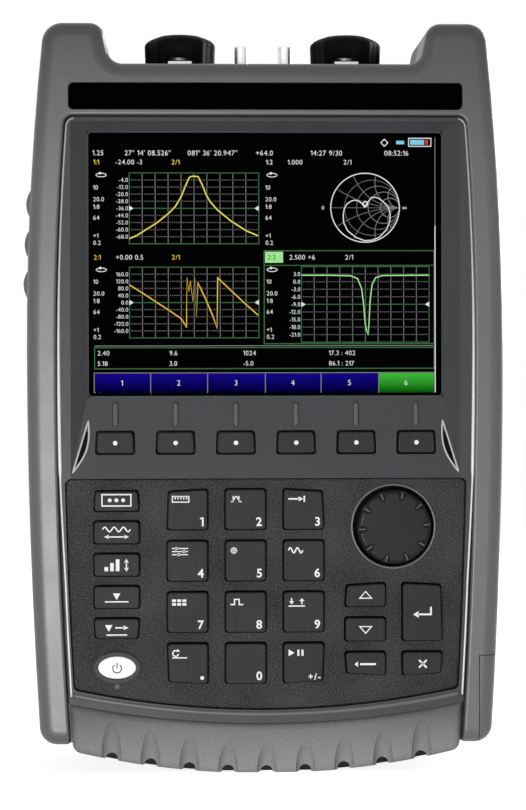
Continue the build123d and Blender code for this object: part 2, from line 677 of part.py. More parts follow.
def door_pull(side, door_height):
    """Bowed finger pull on the free end of a door, with a nail slot in its front."""
    half = door_height / 2 - PULL_MARGIN
    radius = (half**2 + PULL_RISE**2) / (2 * PULL_RISE)
    crown = DOOR_RISE + PULL_RISE
    front = DOOR_FRONT + DOOR_EDGE_RADIUS
    span = (front, front + PULL_LENGTH)
    pull = rod(side * (crown - radius), 0, radius, *span) & side_block(side, 0, crown + OVERRUN, span, half)
    slot = side_block(side, DOOR_RISE, DOOR_RISE + PULL_SLOT, (front - OVERRUN, front + PULL_SLOT), half / 2)
    return pull - slot


def stand_bay():
    """Thicker wall inside the back that holds the tilt stand's recess."""
    half = STAND_WIDTH / 2 + STAND_GAP + STAND_PIN_LENGTH + STAND_WALL
    low = STAND_TOP - STAND_LENGTH - STAND_WALL - FINGER_HEIGHT
    return block((-half, half), (STAND_FLOOR - STAND_WALL, CASE_BACK), (low, STAND_TOP + STAND_WALL))


def stand_field(grow, high):
    """Field of the tilt stand up to a height, larger by grow, with rounded lower corners."""
    low = STAND_TOP - STAND_LENGTH - grow
    field = Pos(0, (low + high) / 2) * Rectangle(STAND_WIDTH + 2 * grow, high - low)
    return fillet(field.vertices().sort_by(Axis.Y)[:2], STAND_CORNER_RADIUS + grow)


def stand_recess():
    """Recess of the tilt stand with its two pin holes and the finger scoop."""
    low = STAND_TOP - STAND_LENGTH
    recess = slab(stand_field(STAND_GAP, STAND_TOP + STAND_GAP), STAND_FLOOR, CASE_BACK + OVERRUN)
    scoop = Pos(0, low) * SlotOverall(FINGER_WIDTH, 2 * FINGER_HEIGHT)
    recess += slab(scoop, STAND_FLOOR, CASE_BACK + OVERRUN)
    reach = STAND_WIDTH / 2 + STAND_GAP + STAND_PIN_LENGTH
    pins = Pos(0, STAND_AXIS_DEPTH, STAND_AXIS_HEIGHT) * Rot(0, 90, 0) * Cylinder(
        STAND_PIN_RADIUS + RUN_GAP, 2 * reach)
    return recess + pins


def tilt_stand():
    """Flap on the back that props the case up, with a pin at each side of its upper edge."""
    half = STAND_THICKNESS / 2
    flap = slab(stand_field(0.0, STAND_AXIS_HEIGHT), STAND_AXIS_DEPTH - half, STAND_AXIS_DEPTH + half)
    hinge_line = Pos(0, STAND_AXIS_DEPTH, STAND_AXIS_HEIGHT) * Rot(0, 90, 0)
    flap += hinge_line * Cylinder(half, STAND_WIDTH)
    return flap + hinge_line * Cylinder(STAND_PIN_RADIUS, STAND_WIDTH + 2 * STAND_PIN_LENGTH)


def rear_housing():
    """Rear case half with its doors' pockets, screw bosses and the recess of the tilt stand."""
    hollow = slab(cavity_field(), PARTING - OVERRUN, CASE_BACK - WALL) - stand_bay()
    for name, side, height, door_height in door_places():
        hollow -= door_bay(side, height, door_height)
    shell = rear_shell() - hollow
    for x, height in boss_places():
        shell += rod(x, height, BOSS_RADIUS, MAIN_BOARD_FACE + BOARD_THICKNESS, CASE_BACK - WALL)
        shell -= rod(x, height, SCREW_RADIUS + FIT_GAP, CASE_FRONT, CASE_BACK)
        shell -= rod(x, height, SCREW_HEAD_RADIUS + FIT_GAP, CASE_BACK - SCREW_SINK, CASE_BACK + OVERRUN)
    for name, side, height, door_height in door_places():
        shell -= door_cut(side, height, door_height)
    for x, height in foot_places():
        shell -= rod(x, height, FOOT_RADIUS + FIT_GAP, CASE_BACK - FOOT_SINK, CASE_BACK + OVERRUN)
    for place in range(GROOVE_COUNT):
        x = (place - (GROOVE_COUNT - 1) / 2) * GROOVE_PITCH
        groove = Pos(x, GROOVE_MIDDLE) * Rot(0, 0, 90) * SlotOverall(GROOVE_LENGTH, GROOVE_WIDTH)
        shell -= slab(groove, CASE_BACK - GROOVE_DEPTH, CASE_BACK + OVERRUN)
    return shell - stand_recess() - port_opening() - battery_gate(0.0)


def shelf_depth(height):
    """Depth of the sloping shelf at a height below the screen."""
    return WINDOW_FACE + (SCREEN_LOW - height) / SHELF_HEIGHT * (BEZEL_FACE - WINDOW_FACE)


def slope_reach(depth):
    """Half width of the well round the screen at a depth."""
    return SCREEN_WIDTH / 2 + (WINDOW_FACE - depth) / (WINDOW_FACE - BEZEL_FACE) * SCREEN_SIDE_SLOPE


def screen_well():
    """Sloping well round the screen opening."""
    front = BEZEL_FACE - OVERRUN
    rise = (WINDOW_FACE - front) / (WINDOW_FACE - BEZEL_FACE) * SCREEN_TOP_SLOPE
    inner = Plane.XZ.offset(-WINDOW_FACE) * Pos(0, SCREEN_MIDDLE) * Rectangle(SCREEN_WIDTH, SCREEN_HEIGHT)
    outer = Plane.XZ.offset(-front) * Pos(0, SCREEN_MIDDLE + rise / 2) * Rectangle(
        2 * slope_reach(front), SCREEN_HEIGHT + rise)
    return loft([inner, outer], ruled=True)


def shelf_section(height):
    """Section of the shelf cut at a height, in the plane of the depths."""
    front = BEZEL_FACE - OVERRUN
    floor = shelf_depth(height)
    corners = ((-slope_reach(floor), floor), (slope_reach(floor), floor),
               (slope_reach(front), front), (-slope_reach(front), front))
    return Pos(0, 0, height) * make_face(Polyline(*corners, close=True))


def crescent(side):
    """Crescent beside the soft keys, along the foot of the slope."""
    top = (side * CRESCENT_REACH, SCREEN_LOW - CRESCENT_TOP)
    tip = (side * (CRESCENT_REACH + CRESCENT_LEAN), SCREEN_LOW - CRESCENT_TOP - CRESCENT_LENGTH)
    middle_x = (top[0] + tip[0]) / 2
    middle_y = (top[1] + tip[1]) / 2
    inner = ThreePointArc(top, (middle_x - side * CRESCENT_BULGE, middle_y), tip)
    face = make_face([inner, Line(tip, top)])
    return slab(face, BEZEL_FACE - OVERRUN, shelf_depth(middle_y) + CRESCENT_DEPTH)


def shelf_rib(x):
    """Raised, rounded rib on the shelf between the screen and a soft key."""
    height = SCREEN_LOW - RIB_DROP
    slope = math.atan2(WINDOW_FACE - BEZEL_FACE, SHELF_HEIGHT)
    outwards = (0, -math.cos(slope), math.sin(slope))
    shelf = Plane((x, shelf_depth(height), height), x_dir=(1, 0, 0), z_dir=outwards)
    slot = Rot(0, 0, 90) * SlotOverall(RIB_LENGTH, RIB_WIDTH)
    rib = extrude(shelf.offset(-RIB_ROOT) * slot, amount=RIB_ROOT + RIB_RISE)
    return fillet(rib.faces().sort_by(Axis((0, 0, 0), outwards))[-1].edges(), RIB_EDGE_RADIUS)


def front_bezel():
    """Frame round the screen, the soft keys and the keypad, ending in a hanging band over the bumper."""
    frame = slab(panel_field(FIT_GAP, HOUSING_BOTTOM), BEZEL_FACE, SEAT)
    frame = fillet(front_face(frame).edges(), BEZEL_EDGE_RADIUS)
    bumper_room = barrel(RAIL_WIDTH, HOUSING_BOTTOM - OVERRUN, KEYPAD_LOW - BEZEL_BAND, 0.0, KEYPAD_SAG)
    frame -= slab(bumper_room, BEZEL_FACE - OVERRUN, SEAT + OVERRUN)
    frame -= slab(keypad_field(0.0), BEZEL_FACE - OVERRUN, SEAT + OVERRUN)
    frame -= screen_well()
    frame -= loft([shelf_section(KEYPAD_TOP), shelf_section(SCREEN_LOW)], ruled=True)
    for side in (1, -1):
        frame -= crescent(side)
    opening = Pos(0, SCREEN_MIDDLE) * Rectangle(SCREEN_WIDTH, SCREEN_HEIGHT)
    frame -= slab(opening, WINDOW_FACE - OVERRUN, SEAT + OVERRUN)
    frame -= slab(window_field(0.0), WINDOW_FACE + FIT_GAP, SEAT + OVERRUN)
    for key in soft_key_list():
        frame += shelf_rib(key[1])
    for key in soft_key_list():
        frame -= slab(key_outline(key, SOFT_KEY_GAP), BEZEL_FACE - OVERRUN, SEAT + OVERRUN)
    return frame


def window_field(inset):
    """Field of the screen window, which laps behind the bezel."""
    width = SCREEN_WIDTH + 2 * (WINDOW_LAP - inset)
    height = SCREEN_HEIGHT + 2 * (WINDOW_LAP - inset)
    return Pos(0, SCREEN_MIDDLE) * Rectangle(width, height)


def screen_window():
    """Clear window behind the bezel's opening."""
    return slab(window_field(FIT_GAP), WINDOW_FACE + FIT_GAP, SEAT)


def lcd_panel():
    """LCD panel flat against the back of the window."""
    frame = Rectangle(SCREEN_WIDTH + 2 * LCD_MARGIN, SCREEN_HEIGHT + 2 * LCD_MARGIN)
    return slab(Pos(0, SCREEN_MIDDLE) * frame, SEAT, SEAT + LCD_THICKNESS)


def keypad_panel():
    """Panel that the keys stand through, with a rim round the knob and a ring round the power button."""
    panel = slab(keypad_field(FIT_GAP), PANEL_FACE, SEAT)
    panel = fillet(front_face(panel).edges(), BEZEL_EDGE_RADIUS)
    rim = Pos(KNOB_MIDDLE, KNOB_HEIGHT) * Circle(KNOB_WELL_RADIUS + KNOB_RIM_WIDTH)
    panel += slab(rim, PANEL_FACE - KNOB_RIM_RISE, SEAT)
    ring = power_outline(KEY_GAP + POWER_RING_WIDTH)
    panel += slab(ring, PANEL_FACE - POWER_RING_RISE, SEAT)
    panel -= rod(KNOB_MIDDLE, KNOB_HEIGHT, KNOB_WELL_RADIUS, KNOB_FACE, SEAT + OVERRUN)
    panel -= slab(power_outline(KEY_GAP), KNOB_FACE, SEAT + OVERRUN)
    panel -= rod(FUNCTION_MIDDLE, POWER_MIDDLE - LAMP_DROP, LAMP_RADIUS + RUN_GAP, KNOB_FACE, SEAT + OVERRUN)
    for key in key_list():
        panel -= slab(key_outline(key, KEY_GAP), KNOB_FACE, SEAT + OVERRUN)
    return panel


def power_outline(grow):
    """Oval of the power button, larger by grow all round."""
    return Pos(FUNCTION_MIDDLE, POWER_MIDDLE) * Ellipse(POWER_WIDTH / 2 + grow, POWER_HEIGHT / 2 + grow)


def power_button():
    """Oval power button with a lip behind the panel."""
    cap = slab(power_outline(0.0), PANEL_FACE - POWER_RISE, SEAT)
    cap = fillet(front_face(cap).edges(), KEY_EDGE_RADIUS)
    return cap + slab(power_outline(KEY_GAP + FLANGE_LIP), SEAT, SEAT + FLANGE_THICKNESS)


def status_lamp():
    """Small lamp under the power button."""
    return rod(FUNCTION_MIDDLE, POWER_MIDDLE - LAMP_DROP, LAMP_RADIUS, PANEL_FACE - LAMP_RISE, SEAT)


def tuning_knob():
    """Knob with flutes that deepen towards the rim of its face, and a hollow underside."""
    knob = rod(KNOB_MIDDLE, KNOB_HEIGHT, KNOB_RADIUS, KNOB_FACE, SEAT)
    knob = fillet(front_face(knob).edges(), KNOB_EDGE_RADIUS)
    hub = Circle(KNOB_RADIUS - KNOB_SKIN) - Circle(KNOB_HUB_RADIUS + KNOB_SKIN)
    knob -= slab(Pos(KNOB_MIDDLE, KNOB_HEIGHT) * hub, KNOB_FACE + KNOB_SKIN + FLUTE_DEPTH, SEAT + OVERRUN)
    knob -= rod(KNOB_MIDDLE, KNOB_HEIGHT, KNOB_HUB_RADIUS, LEDGE_BACK - BUSH_RISE - KNOB_SKIN, SEAT + OVERRUN)
    knob -= rod(KNOB_MIDDLE, KNOB_HEIGHT, SHAFT_RADIUS, KNOB_FACE + KNOB_SKIN, SEAT)
    tilt = math.degrees(math.atan2(FLUTE_DEPTH, FLUTE_LENGTH))
    flute = Pos(KNOB_RADIUS, FLUTE_DEPTH - FLUTE_RADIUS, 0) * Rot(0, 0, tilt) * Rot(0, 90, 0) * Cylinder(
        FLUTE_RADIUS, KNOB_RADIUS)
    for place in range(FLUTE_COUNT):
        turn = FLUTE_TURN + math.degrees(2 * math.pi / FLUTE_COUNT) * place
        knob -= Pos(KNOB_MIDDLE, KNOB_FACE, KNOB_HEIGHT) * Rot(0, -turn, 0) * flute
    return knob


def encoder_shaft():
    """Shaft that carries the knob and turns in the encoder."""
    return rod(KNOB_MIDDLE, KNOB_HEIGHT, SHAFT_RADIUS, KNOB_FACE + KNOB_SKIN,
               LEDGE_BACK + BOARD_THICKNESS + ENCODER_THICKNESS - BUSH_RISE)


def encoder():
    """Rotary encoder behind the keypad board, with a bush through the board."""
    back = LEDGE_BACK + BOARD_THICKNESS
    body = slab(Pos(KNOB_MIDDLE, KNOB_HEIGHT) * Rectangle(ENCODER_SIZE, ENCODER_SIZE), back, back + ENCODER_THICKNESS)
    body += rod(KNOB_MIDDLE, KNOB_HEIGHT, BUSH_RADIUS, LEDGE_BACK - BUSH_RISE, back)
    return body - rod(KNOB_MIDDLE, KNOB_HEIGHT, SHAFT_RADIUS + RUN_GAP, CASE_FRONT,
                      back + ENCODER_THICKNESS - BUSH_RISE + FIT_GAP)


def keypad_board():
    """Circuit board behind the keys, flat against the back of the ledge."""
    side = RAIL_WIDTH + LEDGE_WIDTH - KEY_BOARD_LAP
    field = barrel(side, KEYPAD_LOW - KEY_BOARD_LAP, SCREEN_LOW - KEY_BOARD_HEAD)
    board = slab(field, LEDGE_BACK, LEDGE_BACK + BOARD_THICKNESS)
    return board - rod(KNOB_MIDDLE, KNOB_HEIGHT, BUSH_RADIUS + FIT_GAP, LEDGE_BACK - OVERRUN, PARTING)


def main_board():
    """Main circuit board, held between the bosses of both housings."""
    high = TOP_EDGE - MAIN_BOARD_HEAD
    field = Pos(0, (MAIN_BOARD_LOW + high) / 2) * Rectangle(MAIN_BOARD_WIDTH, high - MAIN_BOARD_LOW)
    board = slab(field, MAIN_BOARD_FACE, MAIN_BOARD_FACE + BOARD_THICKNESS)
    for x, height in boss_places():
        board -= rod(x, height, SCREW_RADIUS + FIT_GAP, CASE_FRONT, CASE_BACK)
    return board


def rf_module():
    """Shielded microwave module on the back of the main board."""
    high = TOP_EDGE - MAIN_BOARD_HEAD
    field = Pos(0, high - RF_HEIGHT / 2) * Rectangle(RF_WIDTH, RF_HEIGHT)
    back = MAIN_BOARD_FACE + BOARD_THICKNESS
    return slab(field, back, back + RF_DEPTH)


def battery_pack():
    """Battery pack on the floor of the case, behind the battery door."""
    right = BATTERY_DOOR_PLANE
    low = HOUSING_BOTTOM + WALL
    return block((right - BATTERY_LENGTH, right), (BATTERY_FRONT, BATTERY_FRONT + BATTERY_DEPTH),
                 (low, low + BATTERY_HEIGHT))


def battery_door():
    """Cover of the lower right corner of the case."""
    return (front_shell() + rear_shell()) & battery_gate(DOOR_GAP)


def bottom_bumper():
    """Rubber pad round the lower end, scooped along its front edge."""
    side = RAIL_WIDTH + BUMPER_SLOT
    sag = BUMPER_CORNER + BUMPER_FLAT
    face = barrel(side, BUMPER_CORNER, KEYPAD_LOW - BEZEL_BAND - FIT_GAP, sag, KEYPAD_SAG)
    face = round_pair(face, side_x(BUMPER_CORNER, side), BUMPER_CORNER, BUMPER_CORNER_RADIUS)
    front = CASE_FRONT + BUMPER_FACE_SINK
    pad = slab(face, front, BUMPER_BACK)
    pad = fillet(front_face(pad).edges() + back_face(pad).edges(), BUMPER_EDGE_RADIUS)
    reach = CASE_WIDTH / 2
    pad -= block((-reach, reach), (SEAT, CASE_BACK), (HOUSING_BOTTOM, KEYPAD_TOP))
    pad -= block((-reach, reach), (CASE_FRONT, CASE_BACK), (-KEYPAD_TOP, 0))
    for place in range(NOTCH_COUNT):
        pad -= bumper_notch(place - (NOTCH_COUNT - 1) / 2, front)
    return pad


def bumper_notch(place, front):
    """Scoop in the bumper's front edge, taller towards the ends of the row."""
    x = place * NOTCH_PITCH
    edge_reach = side_x(BUMPER_CORNER, RAIL_WIDTH + BUMPER_SLOT)
    foot = BUMPER_CORNER * (x / edge_reach)**2
    end_share = (2 * place / (NOTCH_COUNT - 1))**2
    rise = NOTCH_RISE + NOTCH_EXTRA_RISE * end_share
    lean = math.degrees(math.asin(NOTCH_RADIUS / rise))
    scoop = Pos(x, front, foot) * Rot(lean, 0, 0) * Cylinder(NOTCH_RADIUS, 4 * rise)
    return scoop + rod(x, foot, NOTCH_FOOT_RADIUS, front - OVERRUN, front + NOTCH_FOOT_LENGTH)


def nameplate():
    """Bare strip in the top shoulder."""
    front = CASE_FRONT + NAMEPLATE_SINK
    return slab(nameplate_field(FIT_GAP), front, front + NAMEPLATE_THICKNESS)


def top_plate():
    """Metal plate under the top of the case that carries the ports."""
    half = PORT_OPENING_WIDTH / 2 + TOP_PLATE_LAP
    front = PORT_MIDDLE - PORT_OPENING_DEPTH / 2 - TOP_PLATE_LAP
    back = PORT_MIDDLE + PORT_OPENING_DEPTH / 2 + TOP_PLATE_LAP
    low = TOP_PLATE_FACE - TOP_PLATE_THICKNESS
    plate = block((-half, half), (front, back), (low, TOP_PLATE_FACE))
    for side in (1, -1):
        plate -= post(side * PORT_PITCH / 2, PORT_MIDDLE, PORT_TAIL_RADIUS + FIT_GAP, low - OVERRUN, TOP_EDGE)
        plate -= post(side * JACK_PITCH / 2, PORT_MIDDLE, JACK_RADIUS + FIT_GAP, low - OVERRUN, TOP_EDGE)
    return plate


def test_port(x):
    """Round port with a flange on the top plate and a tail through it."""
    top = TOP_PLATE_FACE + PORT_LENGTH
    port = post(x, PORT_MIDDLE, PORT_TAIL_RADIUS, TOP_PLATE_FACE - PORT_TAIL, TOP_PLATE_FACE)
    port += post(x, PORT_MIDDLE, PORT_FLANGE_RADIUS, TOP_PLATE_FACE, TOP_PLATE_FACE + PORT_FLANGE_HEIGHT)
    port += post(x, PORT_MIDDLE, PORT_RADIUS, TOP_PLATE_FACE, top)
    recess = post(x, PORT_MIDDLE, PORT_RECESS_RADIUS, top - PORT_RECESS_DEPTH, top + OVERRUN)
    recess -= post(x, PORT_MIDDLE, PORT_PIN_RADIUS, top - PORT_RECESS_DEPTH, top + OVERRUN)
    return port - recess


def coaxial_jack(x):
    """Small round jack with a nut on the top plate."""
    top = TOP_PLATE_FACE + JACK_LENGTH
    stem = post(x, PORT_MIDDLE, JACK_RADIUS, TOP_PLATE_FACE - PORT_TAIL, top)
    stem = chamfer(stem.faces().sort_by(Axis.Z)[-1].edges(), JACK_TIP)
    nut = RegularPolygon(JACK_NUT_RADIUS, 6)
    stem += extrude(Pos(x, PORT_MIDDLE, TOP_PLATE_FACE) * nut, amount=JACK_NUT_HEIGHT)
    return stem - post(x, PORT_MIDDLE, JACK_BORE_RADIUS, top - JACK_BORE_DEPTH, top + OVERRUN)


def dust_cap(x):
    """Scalloped cap over a test port, seated on the port's end."""
    low = TOP_PLATE_FACE + CAP_FOOT
    seat = TOP_PLATE_FACE + PORT_LENGTH
    top = seat + CAP_ROOF
    cap = post(x, PORT_MIDDLE, CAP_RADIUS, low, top)
    cap = chamfer(cap.faces().sort_by(Axis.Z)[-1].edges(), CAP_CHAMFER_DROP, CAP_CHAMFER_REACH)
    cap = chamfer(cap.faces().sort_by(Axis.Z)[0].edges(), CAP_LIP)
    cap -= post(x, PORT_MIDDLE, PORT_RADIUS + FIT_GAP, low - OVERRUN, seat)
    for place in range(SCALLOP_COUNT):
        angle = 2 * math.pi * (place + 1 / 2) / SCALLOP_COUNT + math.pi / 3
        reach = CAP_RADIUS + SCALLOP_RADIUS - SCALLOP_DEPTH
        cap -= post(x + reach * math.cos(angle), PORT_MIDDLE + reach * math.sin(angle), SCALLOP_RADIUS,
                    low - OVERRUN, top + OVERRUN)
    return cap


def round_socket(side, height, offset):
    """Round socket on a pocket's floor."""
    floor = DOOR_RISE - DOOR_THICKNESS - POCKET_DEPTH
    middle = (DOOR_FRONT + POCKET_MARGIN + DOOR_BACK - POCKET_HINGE_MARGIN) / 2
    turn = Rot(0, side * 90, 0)
    barrel_wall = extrude(Circle(ROUND_SOCKET_RADIUS), amount=SOCKET_RISE)
    barrel_wall -= extrude(Pos(0, 0, SOCKET_RISE - SOCKET_SLOT) * Circle(ROUND_SOCKET_BORE), amount=SOCKET_SLOT)
    return side_place(side, height) * Pos(side * floor, middle, offset) * turn * barrel_wall


def flat_socket(side, height, offset, socket_width, socket_height):
    """Rectangular socket on a pocket's floor."""
    floor = DOOR_RISE - DOOR_THICKNESS - POCKET_DEPTH
    middle = (DOOR_FRONT + POCKET_MARGIN + DOOR_BACK - POCKET_HINGE_MARGIN) / 2
    y_range = (middle - socket_width / 2, middle + socket_width / 2)
    slot_range = (middle - socket_width / 2 + SOCKET_RIM, middle + socket_width / 2 - SOCKET_RIM)
    shell = side_block(side, floor, floor + SOCKET_RISE, y_range, socket_height / 2)
    shell -= side_block(side, floor + SOCKET_RISE - SOCKET_SLOT, floor + SOCKET_RISE + OVERRUN, slot_range,
                        socket_height / 2 - SOCKET_RIM)
    return side_place(side, height) * Pos(0, 0, offset) * shell


def side_sockets():
    """Sockets behind the side doors."""
    places = door_places()
    left = [height for name, side, height, door_height in places if side < 0]
    sockets = flat_socket(-1, left[0], 0, USB_WIDTH, USB_HEIGHT)
    sockets += flat_socket(-1, left[1], 0, USB_WIDTH, USB_HEIGHT)
    sockets += round_socket(-1, left[2], 0)
    sockets += round_socket(1, RIGHT_DOOR_MIDDLE, RIGHT_SOCKET_PITCH)
    sockets += flat_socket(1, RIGHT_DOOR_MIDDLE, 0, LAN_WIDTH, LAN_HEIGHT)
    sockets += flat_socket(1, RIGHT_DOOR_MIDDLE, -RIGHT_SOCKET_PITCH, USB_WIDTH, USB_HEIGHT)
    return sockets


def case_screw(x, height):
    """Screw that holds the housings and the main board together."""
    seat = CASE_BACK - SCREW_SINK
    screw = rod(x, height, SCREW_RADIUS, MAIN_BOARD_FACE - SCREW_REACH, seat)
    screw += rod(x, height, SCREW_HEAD_RADIUS, seat, seat + SCREW_HEAD_HEIGHT)
    socket = Pos(x, height) * RegularPolygon(SCREW_SOCKET_RADIUS, 6)
    return screw - slab(socket, seat + SCREW_HEAD_HEIGHT / 2, seat + SCREW_HEAD_HEIGHT + OVERRUN)


def foot_places():
    """Middles of the rear feet, as seen from the front."""
    places = []
    for height in FOOT_HEIGHTS:
        places.append((-FOOT_REACH, height))
        places.append((FOOT_REACH, height))
    return places


def rear_foot(x, height):
    """Rubber foot let into the back of the case."""
    foot = rod(x, height, FOOT_RADIUS, CASE_BACK - FOOT_SINK, CASE_BACK + FOOT_RISE)
    return fillet(back_face(foot).edges(), FOOT_EDGE_RADIUS)


def all_parts():
    """Every node of the assembly by name."""
    parts = {
        "front_housing": front_housing(),
        "rear_housing": rear_housing(),
        "front_bezel": front_bezel(),
        "keypad_panel": keypad_panel(),
        "bottom_bumper": bottom_bumper(),
        "nameplate": nameplate(),
        "screen_window": screen_window(),
        "lcd_panel": lcd_panel(),
        "power_button": power_button(),
        "status_lamp": status_lamp(),
        "tuning_knob": tuning_knob(),
        "encoder_shaft": encoder_shaft(),
        "encoder": encoder(),
        "keypad_board": keypad_board(),
        "main_board": main_board(),
        "rf_module": rf_module(),
        "battery_pack": battery_pack(),
        "battery_door": battery_door(),
        "top_plate": top_plate(),
        "test_ports": test_port(-PORT_PITCH / 2) + test_port(PORT_PITCH / 2),
        "coaxial_jacks": coaxial_jack(-JACK_PITCH / 2) + coaxial_jack(JACK_PITCH / 2),
        "dust_cap_left": dust_cap(-PORT_PITCH / 2),
        "dust_cap_right": dust_cap(PORT_PITCH / 2),
        "side_sockets": side_sockets(),
        "tilt_stand": tilt_stand(),
        "case_screws": Part() + [case_screw(x, height) for x, height in boss_places()],
        "rear_feet": Part() + [rear_foot(x, height) for x, height in foot_places()],
    }
    for name, side, height, door_height in door_places():
        parts[name] = side_door(side, height, door_height)
    for key in key_list():
        parts[key[0]] = key_solid(key, PANEL_FACE - KEY_RISE, KEY_GAP)
    for key in soft_key_list():
        parts[key[0]] = key_solid(key, shelf_depth(key[2]) - SOFT_KEY_RISE, SOFT_KEY_GAP)
    return parts


os.makedirs("parts", exist_ok=True)
for part_name, part_solid in all_parts().items():
    export_step(part_solid, f"parts/{part_name}.step")
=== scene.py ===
import json
import math
from collections import defaultdict

import bpy
import numpy as np
from mathutils import Matrix


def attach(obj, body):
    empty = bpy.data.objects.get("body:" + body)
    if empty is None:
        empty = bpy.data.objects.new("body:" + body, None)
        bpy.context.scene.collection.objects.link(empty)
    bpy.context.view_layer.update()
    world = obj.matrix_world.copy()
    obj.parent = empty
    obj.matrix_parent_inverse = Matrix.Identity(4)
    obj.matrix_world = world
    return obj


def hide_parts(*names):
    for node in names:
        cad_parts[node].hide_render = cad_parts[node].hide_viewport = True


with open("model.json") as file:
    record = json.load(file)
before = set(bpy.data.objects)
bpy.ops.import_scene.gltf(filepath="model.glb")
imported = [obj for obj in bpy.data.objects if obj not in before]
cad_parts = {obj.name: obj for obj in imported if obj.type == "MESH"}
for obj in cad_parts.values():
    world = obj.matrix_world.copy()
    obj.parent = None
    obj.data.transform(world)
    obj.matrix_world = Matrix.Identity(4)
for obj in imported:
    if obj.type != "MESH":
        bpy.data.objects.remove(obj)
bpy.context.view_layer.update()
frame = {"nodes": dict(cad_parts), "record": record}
MM = 0.001

# Places on the case in millimetres and degrees, in the frame of the CAD model.
RAIL_WIDTH, CASE_HALF_WIDTH, WIDEST_HEIGHT = 11.5, 93.0, 165.0
UPPER_BOW, LOWER_BOW = 1151.9, 2374.0
SEAM_DEPTH, SEAM_HALF, SEAM_FADE, PAINTED_SHADE_FADE = -2.0, 0.15, 0.3, 0.4
BEZEL_TOP, BEZEL_FOOT, BEZEL_FACE = 255.6, 30.0, -32.0
PANEL_LOW, PANEL_SAG, PANEL_HALF = 32.4, 8.1, 77.0
KEYPAD_TOP = 114.7
SCREEN_HALF, SCREEN_LOW, SCREEN_HIGH, SCREEN_FACE = 69.5, 146.3, 250.0, -27.0
SHELF_SLOPE = math.atan2(SCREEN_FACE - BEZEL_FACE, SCREEN_LOW - KEYPAD_TOP)
KEY_FACE, SOFT_KEY_FACE, POWER_FACE = -33.4, -31.4, -31.2
PRINT_RISE, PRINT_DEPTH = 0.03, 0.05
POWER_SPOT, POWER_RING_FACE = (-58.19, 41.1), -31.0
POWER_RING_REACH, POWER_RING_HEIGHT = 8.35, 5.35
SOFT_KEYS, SOFT_KEY_PITCH, SOFT_KEY_MIDDLE = 6, 23.472, 128.5
SOFT_KEY_PLACES = (np.arange(SOFT_KEYS) - (SOFT_KEYS - 1) / 2) * SOFT_KEY_PITCH
SOFT_RIB_MIDDLE, SOFT_RIB_HALF, SOFT_RIB_WIDTH, SOFT_RIB_RISE = 139.5, 4.4, 2.0, 0.7
CRESCENT_TOP, CRESCENT_RUN = (69.2, 137.2), (6.0, -20.2)
CRESCENT_BOW, CRESCENT_BOW_WAY = 2.6, (-0.958, -0.285)
KNOB_SPOT, KNOB_RIM_RADIUS, KNOB_RIM_FACE = (49.65, 95.7), 16.25, -30.6
KNOB_FLUTES, KNOB_FLUTE_TURN = 10, 4.0
KNOB_FACE, KNOB_FLUTE_START, KNOB_FLUTE_END, KNOB_FLUTE_FALL = -36.0, 10.5, 14.3, 0.395
PORT_PLACES, PORT_DEPTH = {"left": -33.32, "right": 33.32}, 2.0
PORT_NUT_FOOT, PORT_NUT_TOP, PORT_NUT_CORNER, PORT_NUT_HOLE = 275.3, 280.7, 9.4, 7.0
CAP_LOW, CAP_SEAT, CAP_CROWN, CAP_BORE = 277.5, 288.1, 290.8, 6.3
CAP_SCALLOPS, CAP_SCALLOP_DEPTH = 6, 1.1
CAP_ARCH_REACH, CAP_ARCH_RUN, CAP_ARCH_RISE = 33.0, 6.0, 3.7
BEAD_SINK = 0.1
FORWARD = (0.0, -1.0, 0.0)
OFF_SHELF = (0.0, -math.cos(SHELF_SLOPE), math.sin(SHELF_SLOPE))


# Meshes

def piece(name, points, faces, finish, body, smooth=True):
    """A mesh at the origin from points in millimetres and faces as rows of point numbers. It rides on a body
    and takes the finish of the given name."""
    mesh = bpy.data.meshes.new(name)
    mesh.from_pydata((np.asarray(points, float) * MM).tolist(), [], [list(face) for face in faces])
    mesh.polygons.foreach_set("use_smooth", np.full(len(mesh.polygons), smooth))
    mesh.materials.append(FINISHES[finish])
    mesh.update()
    made = bpy.data.objects.new(name, mesh)
    bpy.context.scene.collection.objects.link(made)
    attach(made, body)
    return made


def grid_faces(rows, columns, round_rows=False, round_columns=True):
    """Four-cornered faces between neighbouring points of a grid, which may close on itself either way."""
    row = np.arange(rows if round_rows else rows - 1)
    column = np.arange(columns if round_columns else columns - 1)
    low, left = np.meshgrid(row, column, indexing="ij")
    high, right = (low + 1) % rows, (left + 1) % columns
    corners = [low * columns + left, low * columns + right, high * columns + right, high * columns + left]
    return np.stack(corners, axis=-1).reshape(-1, 4)


def at_depth(flat, depth):
    """Points (x, z) put at one depth, or at a depth each."""
    return np.stack([flat[:, 0], np.broadcast_to(depth, len(flat)), flat[:, 1]], axis=1)


def arc(spot, reach, height=None, start=0.0, end=360.0, steps=36):
    """Points (across, up) of an ellipse round a spot, or of the stretch of it between two angles."""
    turn = np.radians(np.linspace(start, end, steps, endpoint=end - start < 360))
    return np.stack([spot[0] + reach * np.cos(turn), spot[1] + (height or reach) * np.sin(turn)], axis=1)


